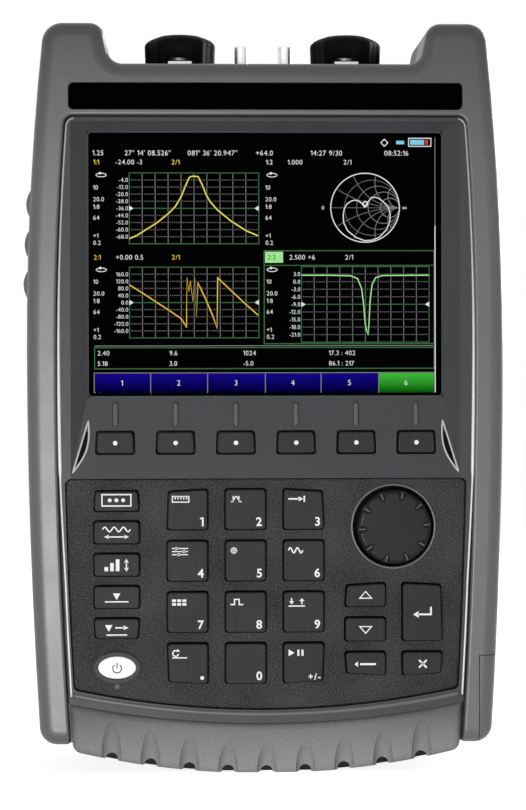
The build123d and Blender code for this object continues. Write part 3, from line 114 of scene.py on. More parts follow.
def bead(name, path, outward, finish, width, rise, body="case", closed=True, sides=10):
    """A rounded bead along a path: at each point half an ellipse, its width along the path's side vector and
    its rise along the outward vector, closed underneath by the ellipse's own chord."""
    outward = np.asarray(outward)
    along = np.roll(path, -1, axis=0) - np.roll(path, 1, axis=0)
    if not closed:
        along[0], along[-1] = path[1] - path[0], path[-1] - path[-2]
    along /= np.linalg.norm(along, axis=1, keepdims=True)
    across = np.cross(along, outward)
    across /= np.linalg.norm(across, axis=1, keepdims=True)
    turn = np.linspace(0, math.pi, sides)
    side = np.cos(turn) * np.broadcast_to(np.reshape(width, (-1, 1)), (len(path), 1)) / 2
    lift = np.sin(turn) * rise
    points = path[:, None] + across[:, None] * side[:, :, None] + outward * lift[:, None]
    faces = grid_faces(len(path), sides, round_rows=closed).tolist()
    if not closed:
        rings = np.arange(len(path) * sides).reshape(-1, sides)
        faces += [rings[0, ::-1], rings[-1]]
    piece(name, points.reshape(-1, 3), faces, finish, body)


def case_side(height, inset):
    """Half the width of the case at a height, less an inset: two arcs that meet at the widest height."""
    bow = np.where(height > WIDEST_HEIGHT, UPPER_BOW, LOWER_BOW)
    return CASE_HALF_WIDTH - (bow - np.sqrt(bow ** 2 - (height - WIDEST_HEIGHT) ** 2)) - inset


def shelf_depth(height):
    """Depth of the sloping shelf under the screen at a height."""
    return SCREEN_FACE - (SCREEN_LOW - height) * math.tan(SHELF_SLOPE)


class Print:
    """Flat marks gathered in one plane, as points (across, up) and faces that turn to the left."""

    def __init__(self):
        self.points, self.faces, self.count = [], [], 0

    def add(self, points, faces):
        """Points and faces after those that are there."""
        points = np.asarray(points, float).reshape(-1, 2)
        self.points.append(points)
        self.faces.extend([[number + self.count for number in face] for face in faces])
        self.count += len(points)

    def fill(self, corners):
        """One face inside its corners."""
        self.add(corners, [range(len(corners))])

    def box(self, left, low, right, high, width=None):
        """A filled box, or a line of one width round it."""
        corners = [(left, low), (right, low), (right, high), (left, high)]
        if width is None:
            self.fill(corners)
        else:
            self.line(corners, width, closed=True)

    def disc(self, x, y, reach, steps=20):
        """A filled circle."""
        self.fill(arc((x, y), reach, steps=steps))

    def ring(self, x, y, reach, width, height=None, start=0.0, end=360.0):
        """A line along an ellipse or a stretch of it."""
        self.line(arc((x, y), reach, height, start, end), width, closed=end - start >= 360)

    def line(self, path, width, closed=False):
        """A line of one width: the path's points moved half the width along the mean of the two normals."""
        path = np.asarray(path, float)
        step = np.roll(path, -1, axis=0) - path
        step /= np.maximum(np.linalg.norm(step, axis=1, keepdims=True), 1e-9)
        if not closed:
            step[-1] = step[-2]
        before = np.roll(step, 1, axis=0)
        if not closed:
            before[0] = step[0]
        normal = np.stack([-step[:, 1], step[:, 0]], axis=1)
        mean = normal + np.stack([-before[:, 1], before[:, 0]], axis=1)
        mean /= np.maximum(np.linalg.norm(mean, axis=1, keepdims=True), 1e-9)
        reach = width / 2 / np.maximum((mean * normal).sum(axis=1, keepdims=True), 0.4)
        points = np.stack([path - mean * reach, path + mean * reach], axis=1).reshape(-1, 2)
        start = np.arange(len(path) if closed else len(path) - 1)
        after = (start + 1) % len(path)
        self.add(points, np.stack([start * 2, after * 2, after * 2 + 1, start * 2 + 1], axis=1))

    def dots(self, places, size):
        """A small square at each place."""
        corners = np.array([(-1, -1), (1, -1), (1, 1), (-1, 1)], float) * size / 2
        self.add(places[:, None] + corners, np.arange(len(places) * 4).reshape(-1, 4))

    def text(self, shapes, signs, x, y, height, anchor=0.0):
        """A row of figures and signs from a glyph table; anchor 0 starts at x, 1 ends there."""
        widths = np.array([shapes[sign][2] for sign in signs]) * height
        left = x - anchor * widths.sum()
        for sign, start in zip(signs, left + np.concatenate([[0], np.cumsum(widths)[:-1]])):
            points, faces, _ = shapes[sign]
            self.add(points * height + (start, y), faces)

    def place(self, name, body, finish, slot, spot, depth):
        """The marks as one piece on a plane at a depth, moved to a spot (x, z), riding on a body."""
        points = at_depth(np.concatenate(self.points) + spot, depth)
        return piece(name, points, self.faces, finish, body, smooth=False)


def glyph_table(signs, weight):
    """Each sign as flat points, faces and step to the next, for a figure one unit high. The figure 1 gets a
    flag at its top."""
    space, gap, flag = 0.45, 0.17, 0.2
    table = {}
    for sign in signs:
        curve = bpy.data.curves.new("sign", "FONT")
        curve.body, curve.offset, curve.resolution_u = sign, weight, 3
        holder = bpy.data.objects.new("sign", curve)
        bpy.context.scene.collection.objects.link(holder)
        graph = bpy.context.evaluated_depsgraph_get()
        mesh = bpy.data.meshes.new_from_object(holder.evaluated_get(graph))
        flat = np.empty(len(mesh.vertices) * 3)
        mesh.vertices.foreach_get("co", flat)
        table[sign] = (flat.reshape(-1, 3)[:, :2], [list(face.vertices) for face in mesh.polygons])
        bpy.data.objects.remove(holder)
        bpy.data.curves.remove(curve)
        bpy.data.meshes.remove(mesh)
    tall = np.ptp(table["0"][0][:, 1])
    ready = {" ": (np.zeros((0, 2)), [], space)}
    for sign, (points, faces) in table.items():
        points = points / tall
        left, right = points[:, 0].min(), points[:, 0].max()
        if sign == "1":
            corners = [(left - flag, 0.7), (left, 0.82), (left, 1.0), (left - flag, 0.86)]
            faces = faces + [list(range(len(points), len(points) + len(corners)))]
            points, left = np.concatenate([points, corners]), left - flag
        ready[sign] = (points - (left, 0), faces, right - left + gap)
    return ready


KEY_SIGNS = glyph_table("0123456789-+/", 0.022)
SCREEN_SIGNS = glyph_table("0123456789.-+/:°'\"∞", -0.006)


# Nodes of the finishes

def set_inputs(tree, node, inputs):
    """Gives a node's inputs by name or number, each as a value or as a link from another node's output."""
    for key, value in inputs.items():
        if isinstance(value, bpy.types.NodeSocket):
            tree.links.new(value, node.inputs[key])
        else:
            node.inputs[key].default_value = value


def add_node(tree, kind, inputs=None, **settings):
    """A shader node with its settings and inputs."""
    made = tree.nodes.new(kind)
    for key, value in settings.items():
        setattr(made, key, value)
    set_inputs(tree, made, inputs or {})
    return made


def sums(tree, operation, first, second=0.5, clamp=False):
    """One working of the math node on one or two numbers."""
    made = add_node(tree, "ShaderNodeMath", {0: first, 1: second}, operation=operation, use_clamp=clamp)
    return made.outputs[0]


def spread(tree, value, low, high, to_low=0.0, to_high=1.0):
    """A value moved from one range to another and held inside it."""
    measures = dict(enumerate((value, low, high, to_low, to_high)))
    return add_node(tree, "ShaderNodeMapRange", measures, clamp=True).outputs[0]


def between(tree, share, first, second, way="MIX"):
    """A colour between two by a share."""
    first, second = (colour if isinstance(colour, bpy.types.NodeSocket) else (*colour, 1.0)
                     for colour in (first, second))
    mixed = add_node(tree, "ShaderNodeMix", {0: share, 6: first, 7: second}, data_type="RGBA", blend_type=way)
    return mixed.outputs[2]


def object_place(tree, axis=None):
    """Object coordinates, or their part along one axis."""
    place = add_node(tree, "ShaderNodeTexCoord").outputs["Object"]
    return place if axis is None else add_node(tree, "ShaderNodeSeparateXYZ", {0: place}).outputs[axis]


def noise(tree, place, low, high, to_low=0.0, to_high=1.0, **inputs):
    """A noise over a place, with the range that it mostly keeps to moved to another."""
    made = add_node(tree, "ShaderNodeTexNoise", {"Vector": place, **inputs})
    return spread(tree, made.outputs[0], low, high, to_low, to_high)


def new_group(name, inputs, outputs):
    """A node group with its inputs at their usual values, and its output node."""
    group = bpy.data.node_groups.new(name, "ShaderNodeTree")
    for label, value in inputs.items():
        group.interface.new_socket(label, in_out="INPUT", socket_type="NodeSocketFloat").default_value = value
    for label in outputs:
        group.interface.new_socket(label, in_out="OUTPUT", socket_type="NodeSocketFloat")
    return group, group.nodes.new("NodeGroupInput").outputs, group.nodes.new("NodeGroupOutput")


def grain_group():
    """Moulded grain: a fine noise for the height, the same noise with a broad one for the shade."""
    group, into, out = new_group("moulded_grain", {"Scale": 1400.0}, ("Height", "Shade"))
    place = object_place(group)
    pits = noise(group, place, 0.37, 0.63, Scale=into["Scale"], Detail=2.0, Roughness=0.6)
    patches = noise(group, place, 0.3, 0.7, Scale=38.0, Detail=3.0)
    mixed = sums(group, "ADD", sums(group, "MULTIPLY", pits, 0.7), sums(group, "MULTIPLY", patches, 0.3))
    set_inputs(group, out, {"Height": pits, "Shade": mixed})
    return group


def edge_group():
    """Rubbed edges, lightened both as wear and as painted edge highlight: where the rounded normal leaves the
    true one, broken up by a noise.
    """
    group, into, out = new_group("rubbed_and_lit_edge", {"Reach": 0.0006}, ("Edge",))
    rounded = add_node(group, "ShaderNodeBevel", {"Radius": into["Reach"]}, samples=4).outputs[0]
    true = add_node(group, "ShaderNodeNewGeometry").outputs["Normal"]
    meet = add_node(group, "ShaderNodeVectorMath", {0: rounded, 1: true}, operation="DOT_PRODUCT")
    bent = spread(group, meet.outputs["Value"], 0.999, 0.9)
    kept = noise(group, object_place(group), 0.25, 0.75, 0.35, 1.0, Scale=420.0, Detail=4.0)
    set_inputs(group, out, {"Edge": sums(group, "MULTIPLY", bent, kept)})
    return group


def noise_group(name, scale, label, stretch=None, **settings):
    """A noise by itself, which may be stretched."""
    group, into, out = new_group(name, {"Scale": scale}, (label,))
    place = object_place(group)
    if stretch:
        place = add_node(group, "ShaderNodeMapping", {"Vector": place, "Scale": stretch}).outputs[0]
    set_inputs(group, out, {label: noise(group, place, 0.3, 0.7, Scale=into["Scale"], **settings)})
    return group


def height_group():
    """How low a point lies between two heights, from 0 at the upper one to 1, rising faster at first."""
    group, into, out = new_group("lowness", {"Upper": 0.285, "Lower": 0.08}, ("Low",))
    low = spread(group, object_place(group, "Z"), into["Upper"], into["Lower"])
    set_inputs(group, out, {"Low": sums(group, "POWER", low, 0.75)})
    return group


def display_group():
    """Rows and columns of the display: two fine waves, one across and one up, multiplied."""
    group, into, out = new_group("display_cells", {"Pitch": 15000.0}, ("Cell",))
    waves = []
    for axis in ("X", "Z"):
        turns = sums(group, "MULTIPLY", object_place(group, axis), into["Pitch"])
        waves.append(spread(group, sums(group, "SINE", turns), -1.0, 1.0, 0.82, 1.0))
    set_inputs(group, out, {"Cell": sums(group, "MULTIPLY", *waves)})
    return group


GRAIN, EDGE, LOWNESS, CELLS = grain_group(), edge_group(), height_group(), display_group()
# Broad marks of handling for the roughness, and fine lines along the height.
HANDLING = noise_group("handling", 60.0, "Smudge", Detail=5.0, Roughness=0.65, Distortion=0.6)
STREAK = noise_group("upright_lines", 1.0, "Streak", stretch=(2600.0, 400.0, 60.0), Detail=2.0)


def use(tree, group, **inputs):
    """A group placed in a material with its own values."""
    return add_node(tree, "ShaderNodeGroup", inputs, node_tree=group).outputs


# Finishes by name

FINISHES = {}
# Near black of the parting seam, and of the painted shade in gaps and recesses.
SEAM_AND_SHADE_BLACK = (0.008, 0.008, 0.008)


def new_finish(name):
    """A new finish, kept by its name: its node tree and its shader."""
    FINISHES[name] = bpy.data.materials.new(name)
    FINISHES[name].use_nodes = True
    tree = FINISHES[name].node_tree
    return tree, tree.nodes["Principled BSDF"]


def plastic(name, colour, rough=0.5, shine=0.2, grain=1400.0, pits=0.12, mottle=0.25, wear_and_edge_sheen=0.25, lines=0.0,
            warm=None, reach=(0.285, 0.08), seam=False, painted_shade_depth=None):
    """Moulded plastic or rubber: grain in shade and height, edges lightened as rubbed wear and as painted
    edge highlights, handling marks in the roughness; it may carry upright lines, a lighter second colour
    towards the foot as painted light and shade by height, the dark parting seam of the case, and painted
    black shade behind a depth, in gaps and recesses. Its heights and depth are in metres."""
    tree, shader = new_finish(name)
    grains = use(tree, GRAIN, Scale=grain)
    shades = [between(tree, grains["Shade"], np.multiply(middle, 1 - mottle), np.multiply(middle, 1 + mottle))
              for middle in (colour, warm) if middle]
    shade = shades[0]
    # Painted light and shade by height: the first colour above, running to the lighter second towards the
    # foot.
    if warm:
        shade = between(tree, use(tree, LOWNESS, Upper=reach[0], Lower=reach[1])["Low"], *shades)
    if lines:
        streak = spread(tree, use(tree, STREAK)["Streak"], 0.0, 1.0, 1 - lines, 1 + lines)
        shade = between(tree, 1.0, shade, streak, "MULTIPLY")
    # Lightened edges: partly rubbed wear, partly painted edge highlight.
    if wear_and_edge_sheen:
        rubbed_and_lit = np.minimum(np.multiply(colour, 2.6) + 0.03, 0.9)
        shade = between(tree, sums(tree, "MULTIPLY", use(tree, EDGE)["Edge"], wear_and_edge_sheen), shade, rubbed_and_lit)
    if seam:
        away = sums(tree, "ABSOLUTE", sums(tree, "SUBTRACT", object_place(tree, "Y"), SEAM_DEPTH * MM))
        shade = between(tree, spread(tree, away, SEAM_HALF * MM, SEAM_FADE * MM), SEAM_AND_SHADE_BLACK, shade)
    # Painted shade: near black behind the depth, for the shade inside openings, gaps and notches.
    if painted_shade_depth is not None:
        outside = spread(tree, object_place(tree, "Y"), painted_shade_depth + PAINTED_SHADE_FADE * MM, painted_shade_depth)
        shade = between(tree, outside, SEAM_AND_SHADE_BLACK, shade)
    marks = spread(tree, use(tree, HANDLING)["Smudge"], 0.0, 1.0, rough - 0.02, rough + 0.03)
    set_inputs(tree, shader, {"Base Color": shade, "Roughness": marks, "Specular IOR Level": shine})
    if pits:
        relief = {"Strength": pits, "Distance": 0.0002, "Height": grains["Height"]}
        set_inputs(tree, shader, {"Normal": add_node(tree, "ShaderNodeBump", relief).outputs[0]})


def trim(name, colour, rough, shine, mottle=0.06, **more):
    """Fine plastic of a small piece: nearly smooth, with no rubbed or lit edges. nearly smooth and not worn.
    """
    plastic(name, colour, rough, shine, mottle=mottle, wear_and_edge_sheen=0.0, pits=0.02, **more)


def metal(name, colour, rough):
    """Turned or cast metal: a shade that wanders, fine scratches in the roughness and a trace of grain."""
    tree, shader = new_finish(name)
    grains = use(tree, GRAIN, Scale=900.0)
    scratches = use(tree, HANDLING, Scale=120.0)["Smudge"]
    relief = {"Strength": 0.01, "Distance": 0.0001, "Height": grains["Height"]}
    set_inputs(tree, shader, {
        "Base Color": between(tree, grains["Shade"], np.asarray(colour) * 0.94, colour),
        "Roughness": spread(tree, scratches, 0.0, 1.0, rough - 0.03, rough + 0.05),
        "Metallic": 1.0,
        "Normal": add_node(tree, "ShaderNodeBump", relief).outputs[0],
    })


def glow(name, colour, foot=None, span=(0.0, 1.0)):
    """A lit colour of the display, broken into its cells; it may run to a second colour down a span."""
    tree, shader = new_finish(name)
    shade = colour
    if foot:
        shade = between(tree, spread(tree, object_place(tree, "Z"), *span), foot, colour)
    set_inputs(tree, shader, {
        "Emission Color": between(tree, use(tree, CELLS)["Cell"], (0.0, 0.0, 0.0), shade),
        "Emission Strength": 1.0,
        "Base Color": (0.0, 0.0, 0.0, 1.0),
        "Specular IOR Level": 0.0,
    })


def window_glass(name):
    """Thin coated window in front of the display: clear, with a trace of handling in its tint."""
    tree, shader = new_finish(name)
    marks = use(tree, HANDLING, Scale=45.0)["Smudge"]
    set_inputs(tree, shader, {
        "Base Color": between(tree, marks, (0.97, 0.98, 0.99), (0.99, 1.0, 1.0)),
        "Roughness": 0.0,
        "Transmission Weight": 1.0,
        "IOR": 1.02,
        "Specular IOR Level": 0.1,
    })


# One finish for each slot of the record, then those of the trim and the inks.
# The case is darker above about 235 mm: painted shade over the horns and shoulder.
plastic("case_grey", (0.05, 0.05, 0.051), 0.36, 0.5, wear_and_edge_sheen=0.1, mottle=0.1, pits=0.06,
        warm=(0.11, 0.108, 0.109), reach=(0.285, 0.235), seam=True)
plastic("case_back", (0.115, 0.113, 0.114), 0.5, 0.3, wear_and_edge_sheen=0.2, mottle=0.12, pits=0.1)
# The bezel, panel, bumper and keys go near black behind a depth: painted shade in the key and soft-key
# openings, down the keys' sides and in the bumper's notch arches.
plastic("bezel_grey", (0.056, 0.057, 0.062), 0.4, 0.14, wear_and_edge_sheen=0.3, mottle=0.12, pits=0.04, painted_shade_depth=-0.0264)
plastic("panel_grey", (0.041, 0.043, 0.043), 0.42, 0.18, grain=1800.0, pits=1.0, mottle=1.1, wear_and_edge_sheen=0.2,
        painted_shade_depth=-0.0299)
# The bumper grows lighter over its lowest 22 mm: painted light on its lower edge.
plastic("bumper_rubber", (0.145, 0.142, 0.144), 0.55, 0.1, wear_and_edge_sheen=0.1, mottle=0.14, pits=0.12,
        warm=(0.3, 0.293, 0.297), reach=(0.022, 0.001), painted_shade_depth=-0.0276)
plastic("strip_black", (0.0006, 0.0006, 0.0007), 0.3, 0.0, pits=0.0, wear_and_edge_sheen=0.0)
plastic("key_charcoal", (0.029, 0.03, 0.031), 0.48, 0.08, wear_and_edge_sheen=0.5, mottle=0.08, pits=0.03, lines=0.14,
        painted_shade_depth=-0.0304)
trim("power_pale", (0.95, 0.95, 0.94), 0.4, 0.3, mottle=0.02)
trim("lamp_clear", (0.08, 0.08, 0.1), 0.4, 0.15, mottle=0.1)
plastic("knob_black", (0.012, 0.012, 0.0135), 0.3, 0.12, wear_and_edge_sheen=0.5, mottle=0.1, pits=0.03)
metal("steel", (0.88, 0.87, 0.85), 0.34)
metal("alloy", (0.62, 0.62, 0.63), 0.35)
# Near black: painted shade for the gap round the knob, where the board shows.
plastic("board_green", (0.001, 0.004, 0.002), 0.5, 0.05, grain=500.0, mottle=0.4)
plastic("battery_black", (0.02, 0.02, 0.022), 0.5, 0.3)
plastic("cap_black", (0.0035, 0.0035, 0.004), 0.5, 0.025, grain=1500.0, pits=0.4, mottle=0.3, wear_and_edge_sheen=0.3)
plastic("door_rubber", (0.125, 0.122, 0.123), 0.55, 0.2)
plastic("foot_rubber", (0.016, 0.016, 0.016), 0.7, 0.15)
plastic("lcd_dark", (0.0004, 0.0004, 0.0005), 0.5, 0.0, pits=0.0, wear_and_edge_sheen=0.0)
window_glass("window_clear")
# The bezel lips are pale as a painted highlight, and paler still towards the foot.
trim("bezel_lip_highlight", (0.2, 0.2, 0.205), 0.25, 0.5, warm=(0.85, 0.85, 0.86))
# The crescent rims are pale as a painted highlight.
trim("crescent_highlight_pale", (0.55, 0.55, 0.56), 0.28, 0.4)
# The bezel's foot lip is lighter than the bezel as a painted highlight.
trim("bezel_foot_highlight", (0.12, 0.12, 0.123), 0.35, 0.3, mottle=0.1)
# Pale beads on the knob's rim and in its flutes: painted highlight and painted glints.
trim("painted_highlight_grey", (0.13, 0.13, 0.133), 0.25, 0.5)
trim("screen_edge_grey", (0.085, 0.085, 0.09), 0.6, 0.05)
trim("white_ink", (0.88, 0.88, 0.87), 0.5, 0.2, mottle=0.03)
trim("grey_ink", (0.04, 0.036, 0.032), 0.5, 0.2, mottle=0.05)
trim("rib_grey", (0.085, 0.086, 0.092), 0.22, 0.5)
# Black sheet in the crescents' hollows: painted shade.
trim("crescent_shade_black", (0.006, 0.006, 0.0065), 0.6, 0.02, mottle=0.1)


def coat_nodes():
    """Gives each CAD node the finish of its slot in the record."""
    slots = {entry["node"]: entry["material_slot"] for entry in frame["record"]["subparts"]}
    for name, node in frame["nodes"].items():
        node.data.materials.clear()
        node.data.materials.append(FINISHES[slots[name]])


# Pieces of the case

def bezel_lips():
    """Glossy lip down each side of the bezel, pale as a painted highlight that grows paler towards the foot:
    a half ellipse along the rail's inner line, wider beside the foot of the screen and the soft keys, turned
    inwards at the top corner."""
    corner, top = 3.4, BEZEL_TOP - 4.4
    width, swell_width, swell_top, swell_run, swell_foot = 0.8, 0.55, 205.0, 60.0, 3.0
    pull, pull_run = 0.8, 40.0
    heights = np.linspace(BEZEL_FOOT, top, 110)
    drawn_in = pull * np.clip((KEYPAD_TOP - heights) / pull_run, 0, 1)
    for name, side, inset in (("left", -1, 1.0), ("right", 1, 0.45)):
        reach = case_side(heights, RAIL_WIDTH + inset + drawn_in)
        bend = arc((reach[-1] - corner, top), corner, end=80, steps=12)[1:]
        flat = np.concatenate([np.stack([reach, heights], axis=1), bend])
        swell = np.clip((swell_top - flat[:, 1]) / swell_run, 0, 1)
        swell *= np.clip((flat[:, 1] - KEYPAD_TOP) / swell_foot, 0, 1)
        path = at_depth(flat * (side, 1), BEZEL_FACE + BEAD_SINK)[::-side]
        widths = (width + swell_width * swell)[::-side]
        bead(f"bezel_lip_{name}", path, FORWARD, "bezel_lip_highlight", widths, rise=0.55, closed=False)


def bezel_foot_lip():
    """Rounded lip of the bezel under the keypad panel, lighter than the bezel as a painted highlight: a half
    ellipse along the panel's sagging edge.
    """
    inset, drop = 1.6, 1.5
    across = np.linspace(inset - PANEL_HALF, PANEL_HALF - inset, 90)
    heights = PANEL_LOW - drop - PANEL_SAG * (1 - (across / PANEL_HALF) ** 2)
    path = at_depth(np.stack([across, heights], axis=1), BEZEL_FACE + BEAD_SINK)
    bead("bezel_foot_lip", path, FORWARD, "bezel_foot_highlight", width=1.9, rise=0.8, closed=False)


def power_ring():
    """Plated ring round the power button: a bead along an ellipse on the panel's own ring."""
    flat = arc(POWER_SPOT, POWER_RING_REACH, POWER_RING_HEIGHT, steps=64)
    path = at_depth(flat, POWER_RING_FACE + BEAD_SINK)
    bead("power_ring", path, FORWARD, "screen_edge_grey", width=1.6, rise=0.6)


def screen_edge():
    """Thin light bead round the screen opening: four quarter circles joined by straight runs."""
    corner, inset, sink = 1.5, 1.75, 0.15
    half, low, high = SCREEN_HALF - inset, SCREEN_LOW + inset, SCREEN_HIGH - inset
    corners = ((half, high), (-half, high), (-half, low), (half, low))
    flat = np.concatenate([arc(spot, corner, start=90 * place, end=90 * place + 90, steps=8)
                           for place, spot in enumerate(corners)])
    path = at_depth(flat, SCREEN_FACE + sink)
    bead("screen_edge", path, FORWARD, "screen_edge_grey", width=0.5, rise=0.3)


def soft_key_ribs():
    """Rounded crest on each rib over the soft keys: a half ellipse up the shelf, its width falling at both
    ends as a circle does."""
    heights = np.linspace(SOFT_RIB_MIDDLE - SOFT_RIB_HALF, SOFT_RIB_MIDDLE + SOFT_RIB_HALF, 30)
    inside = np.clip(SOFT_RIB_HALF - np.abs(heights - SOFT_RIB_MIDDLE), 0, 1)
    widths = SOFT_RIB_WIDTH * np.sqrt(1 - (1 - inside) ** 2) + 0.1
    for place, x in enumerate(SOFT_KEY_PLACES):
        flat = np.stack([np.full(len(heights), x), heights], axis=1)
        path = at_depth(flat, shelf_depth(heights) - SOFT_RIB_RISE)
        bead(f"soft_key_rib_{place + 1}", path, OFF_SHELF, "rib_grey", widths, rise=0.8, closed=False)


def knob_rim_highlight():
    """Thin light ring on the rim of the knob's well, pale as a painted highlight: a bead along a circle."""
    path = at_depth(arc(KNOB_SPOT, KNOB_RIM_RADIUS, steps=72), KNOB_RIM_FACE + BEAD_SINK)
    bead("knob_rim_highlight", path, FORWARD, "painted_highlight_grey", width=0.8, rise=0.4)


def knob_flute_glints():
    """Painted glint in the lit bottom of each flute in the knob's face: a narrow pale bead that falls towards
    the rim.
    """
    inner, outer, sink = 0.8, 0.5, 0.06
    reach = np.linspace(KNOB_FLUTE_START + inner, KNOB_FLUTE_END - outer, 12)
    depth = KNOB_FACE + sink + (reach - KNOB_FLUTE_START) * KNOB_FLUTE_FALL
    for place in range(KNOB_FLUTES):
        turn = math.radians(KNOB_FLUTE_TURN + 360.0 / KNOB_FLUTES * place)
        flat = np.stack([reach * math.cos(turn), reach * math.sin(turn)], axis=1) + KNOB_SPOT
        bead(f"knob_flute_{place + 1}", at_depth(flat, depth), FORWARD, "painted_highlight_grey", width=0.6, rise=0.3,
             body="knob", closed=False, sides=6)


def crescent_rims():
    """Painted highlight round each crescent beside the soft keys, a pale bead along an arc and its chord, and
    a black sheet of painted shade between the two lines, sunk in the hollow."""
    share = np.linspace(0, 1, 24)
    chord = np.array(CRESCENT_TOP) + share[:, None] * CRESCENT_RUN
    bowed = chord + CRESCENT_BOW * np.sin(math.pi * share)[:, None] * CRESCENT_BOW_WAY
    rim_sink, sunk, sunk_top, sunk_run, lift = 0.05, 0.28, 134.0, 3.0, 0.03
    for name, side in (("left", -1), ("right", 1)):
        flat = np.concatenate([chord[:-1], bowed[::-1][:-1]]) * (side, 1)
        path = at_depth(flat, shelf_depth(flat[:, 1]) + rim_sink)[::-side]
        bead(f"crescent_rim_{name}", path, OFF_SHELF, "crescent_highlight_pale", width=0.75, rise=0.4)
        floor = np.concatenate([chord, bowed]) * (side, 1)
        down = sunk * np.clip((sunk_top - floor[:, 1]) / sunk_run, 0, 1) - lift
        points = at_depth(floor, shelf_depth(floor[:, 1]) + down)
        faces = grid_faces(2, len(share), round_columns=False)[:, ::-side]
        piece(f"crescent_shade_sheet_{name}", points, faces, "crescent_shade_black", "case")


def turned(x, radius, height, turn):
    """Points round the upright axis of a port: each row's radius and height at every angle."""
    grid = np.broadcast_arrays(x + radius * np.cos(turn), PORT_DEPTH + radius * np.sin(turn), height)
    return np.stack(grid, axis=-1).reshape(-1, 3)


def port_nuts():
    """Six-sided nut round the foot of each port: the corners of a hexagon carried up from the flange, drawn
    in at the top edge and led back down beside the port."""
    bevel = 0.4
    turn = np.radians(60.0 * np.arange(6))
    profile = np.array([(PORT_NUT_HOLE, PORT_NUT_FOOT), (PORT_NUT_CORNER, PORT_NUT_FOOT),
                        (PORT_NUT_CORNER, PORT_NUT_TOP - bevel), (PORT_NUT_CORNER - bevel, PORT_NUT_TOP),
                        (PORT_NUT_HOLE, PORT_NUT_TOP)])
    faces = grid_faces(len(profile), len(turn), round_rows=True)
    for name, x in PORT_PLACES.items():
        points = turned(x, profile[:, :1], profile[:, 1:], turn)
        piece(f"port_nut_{name}", points, faces, "steel", "case", smooth=False)


def dust_caps():
    """Black caps over the ports: a turned profile whose radius falls in six finger scallops round the axis,
    its lower edge rising in an arch at the front and the back, hollow round the bore for the port."""
    turn = np.linspace(0, 2 * math.pi, 144, endpoint=False)
    ripple = np.cos(CAP_SCALLOPS * (turn + math.pi / 2))
    scallop = CAP_SCALLOP_DEPTH * np.clip(0.5 + 0.75 * ripple, 0, 1) ** 1.2
    aside = np.degrees(np.arccos(np.minimum(np.abs(np.sin(turn)), 1.0)))
    arch = CAP_ARCH_RISE * np.clip((CAP_ARCH_REACH - aside) / CAP_ARCH_RUN, 0, 1)
    # rows of radius, height, share of the scallop and share of the arch, from the bore round to the crown
    profile = np.array([
        (CAP_BORE, CAP_SEAT, 0, 0), (CAP_BORE, 284.4, 0, 0), (12.2, 284.0, 0.9, 0), (12.3, CAP_LOW, 0.9, 1.0),
        (13.2, CAP_LOW, 0.9, 1.0), (13.7, CAP_LOW + 0.3, 1.0, 1.0), (13.9, CAP_LOW + 1.2, 1.0, 0.8),
        (14.1, 284.5, 1.0, 0.1), (14.2, 287.0, 0.9, 0), (13.9, 287.9, 0.8, 0), (12.6, 289.1, 0.55, 0),
        (10.8, 290.0, 0.3, 0), (9.0, 290.6, 0.1, 0), (8.4, CAP_CROWN, 0, 0), (3.0, CAP_CROWN, 0, 0)])
    radius = profile[:, :1] - profile[:, 2:3] * scallop
    height = profile[:, 1:2] + profile[:, 3:4] * arch
    rows, columns = radius.shape
    seat, crown = rows * columns, rows * columns + 1
    first = np.arange(columns)
    after, last = (first + 1) % columns, (rows - 1) * columns
    faces = grid_faces(rows, columns).tolist()
    faces += [(seat, two, one) for one, two in zip(first, after)]
    faces += [(last + one, last + two, crown) for one, two in zip(first, after)]
    for name, x in PORT_PLACES.items():
        ends = [(x, PORT_DEPTH, CAP_SEAT), (x, PORT_DEPTH, CAP_CROWN)]
        points = np.concatenate([turned(x, radius, height, turn), ends])
        node = f"dust_cap_{name}"
        cap = piece(f"{node}_shell", points, faces, "cap_black", node)
        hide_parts(node)


# Legends, each as rows of a kind of mark and its measures in millimetres

def wave(left, right, middle, reach, turns):
    """Points of a sine line between two places."""
    along = np.linspace(0, 1, 28)
    height = middle + reach * np.sin(2 * math.pi * turns * along)
    return np.stack([left + (right - left) * along, height], axis=1)


def bell(middle, half, low, tall):
    """Points of a bell curve, an exponential of the square of the way from its middle."""
    along = np.linspace(-1, 1, 25)
    return np.stack([middle + half * along, low + tall * np.exp(-6 * along ** 2)], axis=1)


PEN = 0.42
# Lower left corners of the number keys' pictograms, and the middles of the other keys.
NUMBER_COLUMNS, NUMBER_ROWS = (-36.71, -14.10, 8.51), (105.5, 85.5, 65.5, 45.5)
FUNCTION_COLUMN, FUNCTION_ROWS = -58.19, (106.4, 93.8, 81.2, 68.6, 56.0)
ARROW_COLUMN, ENTER_COLUMN = 38.55, 60.85

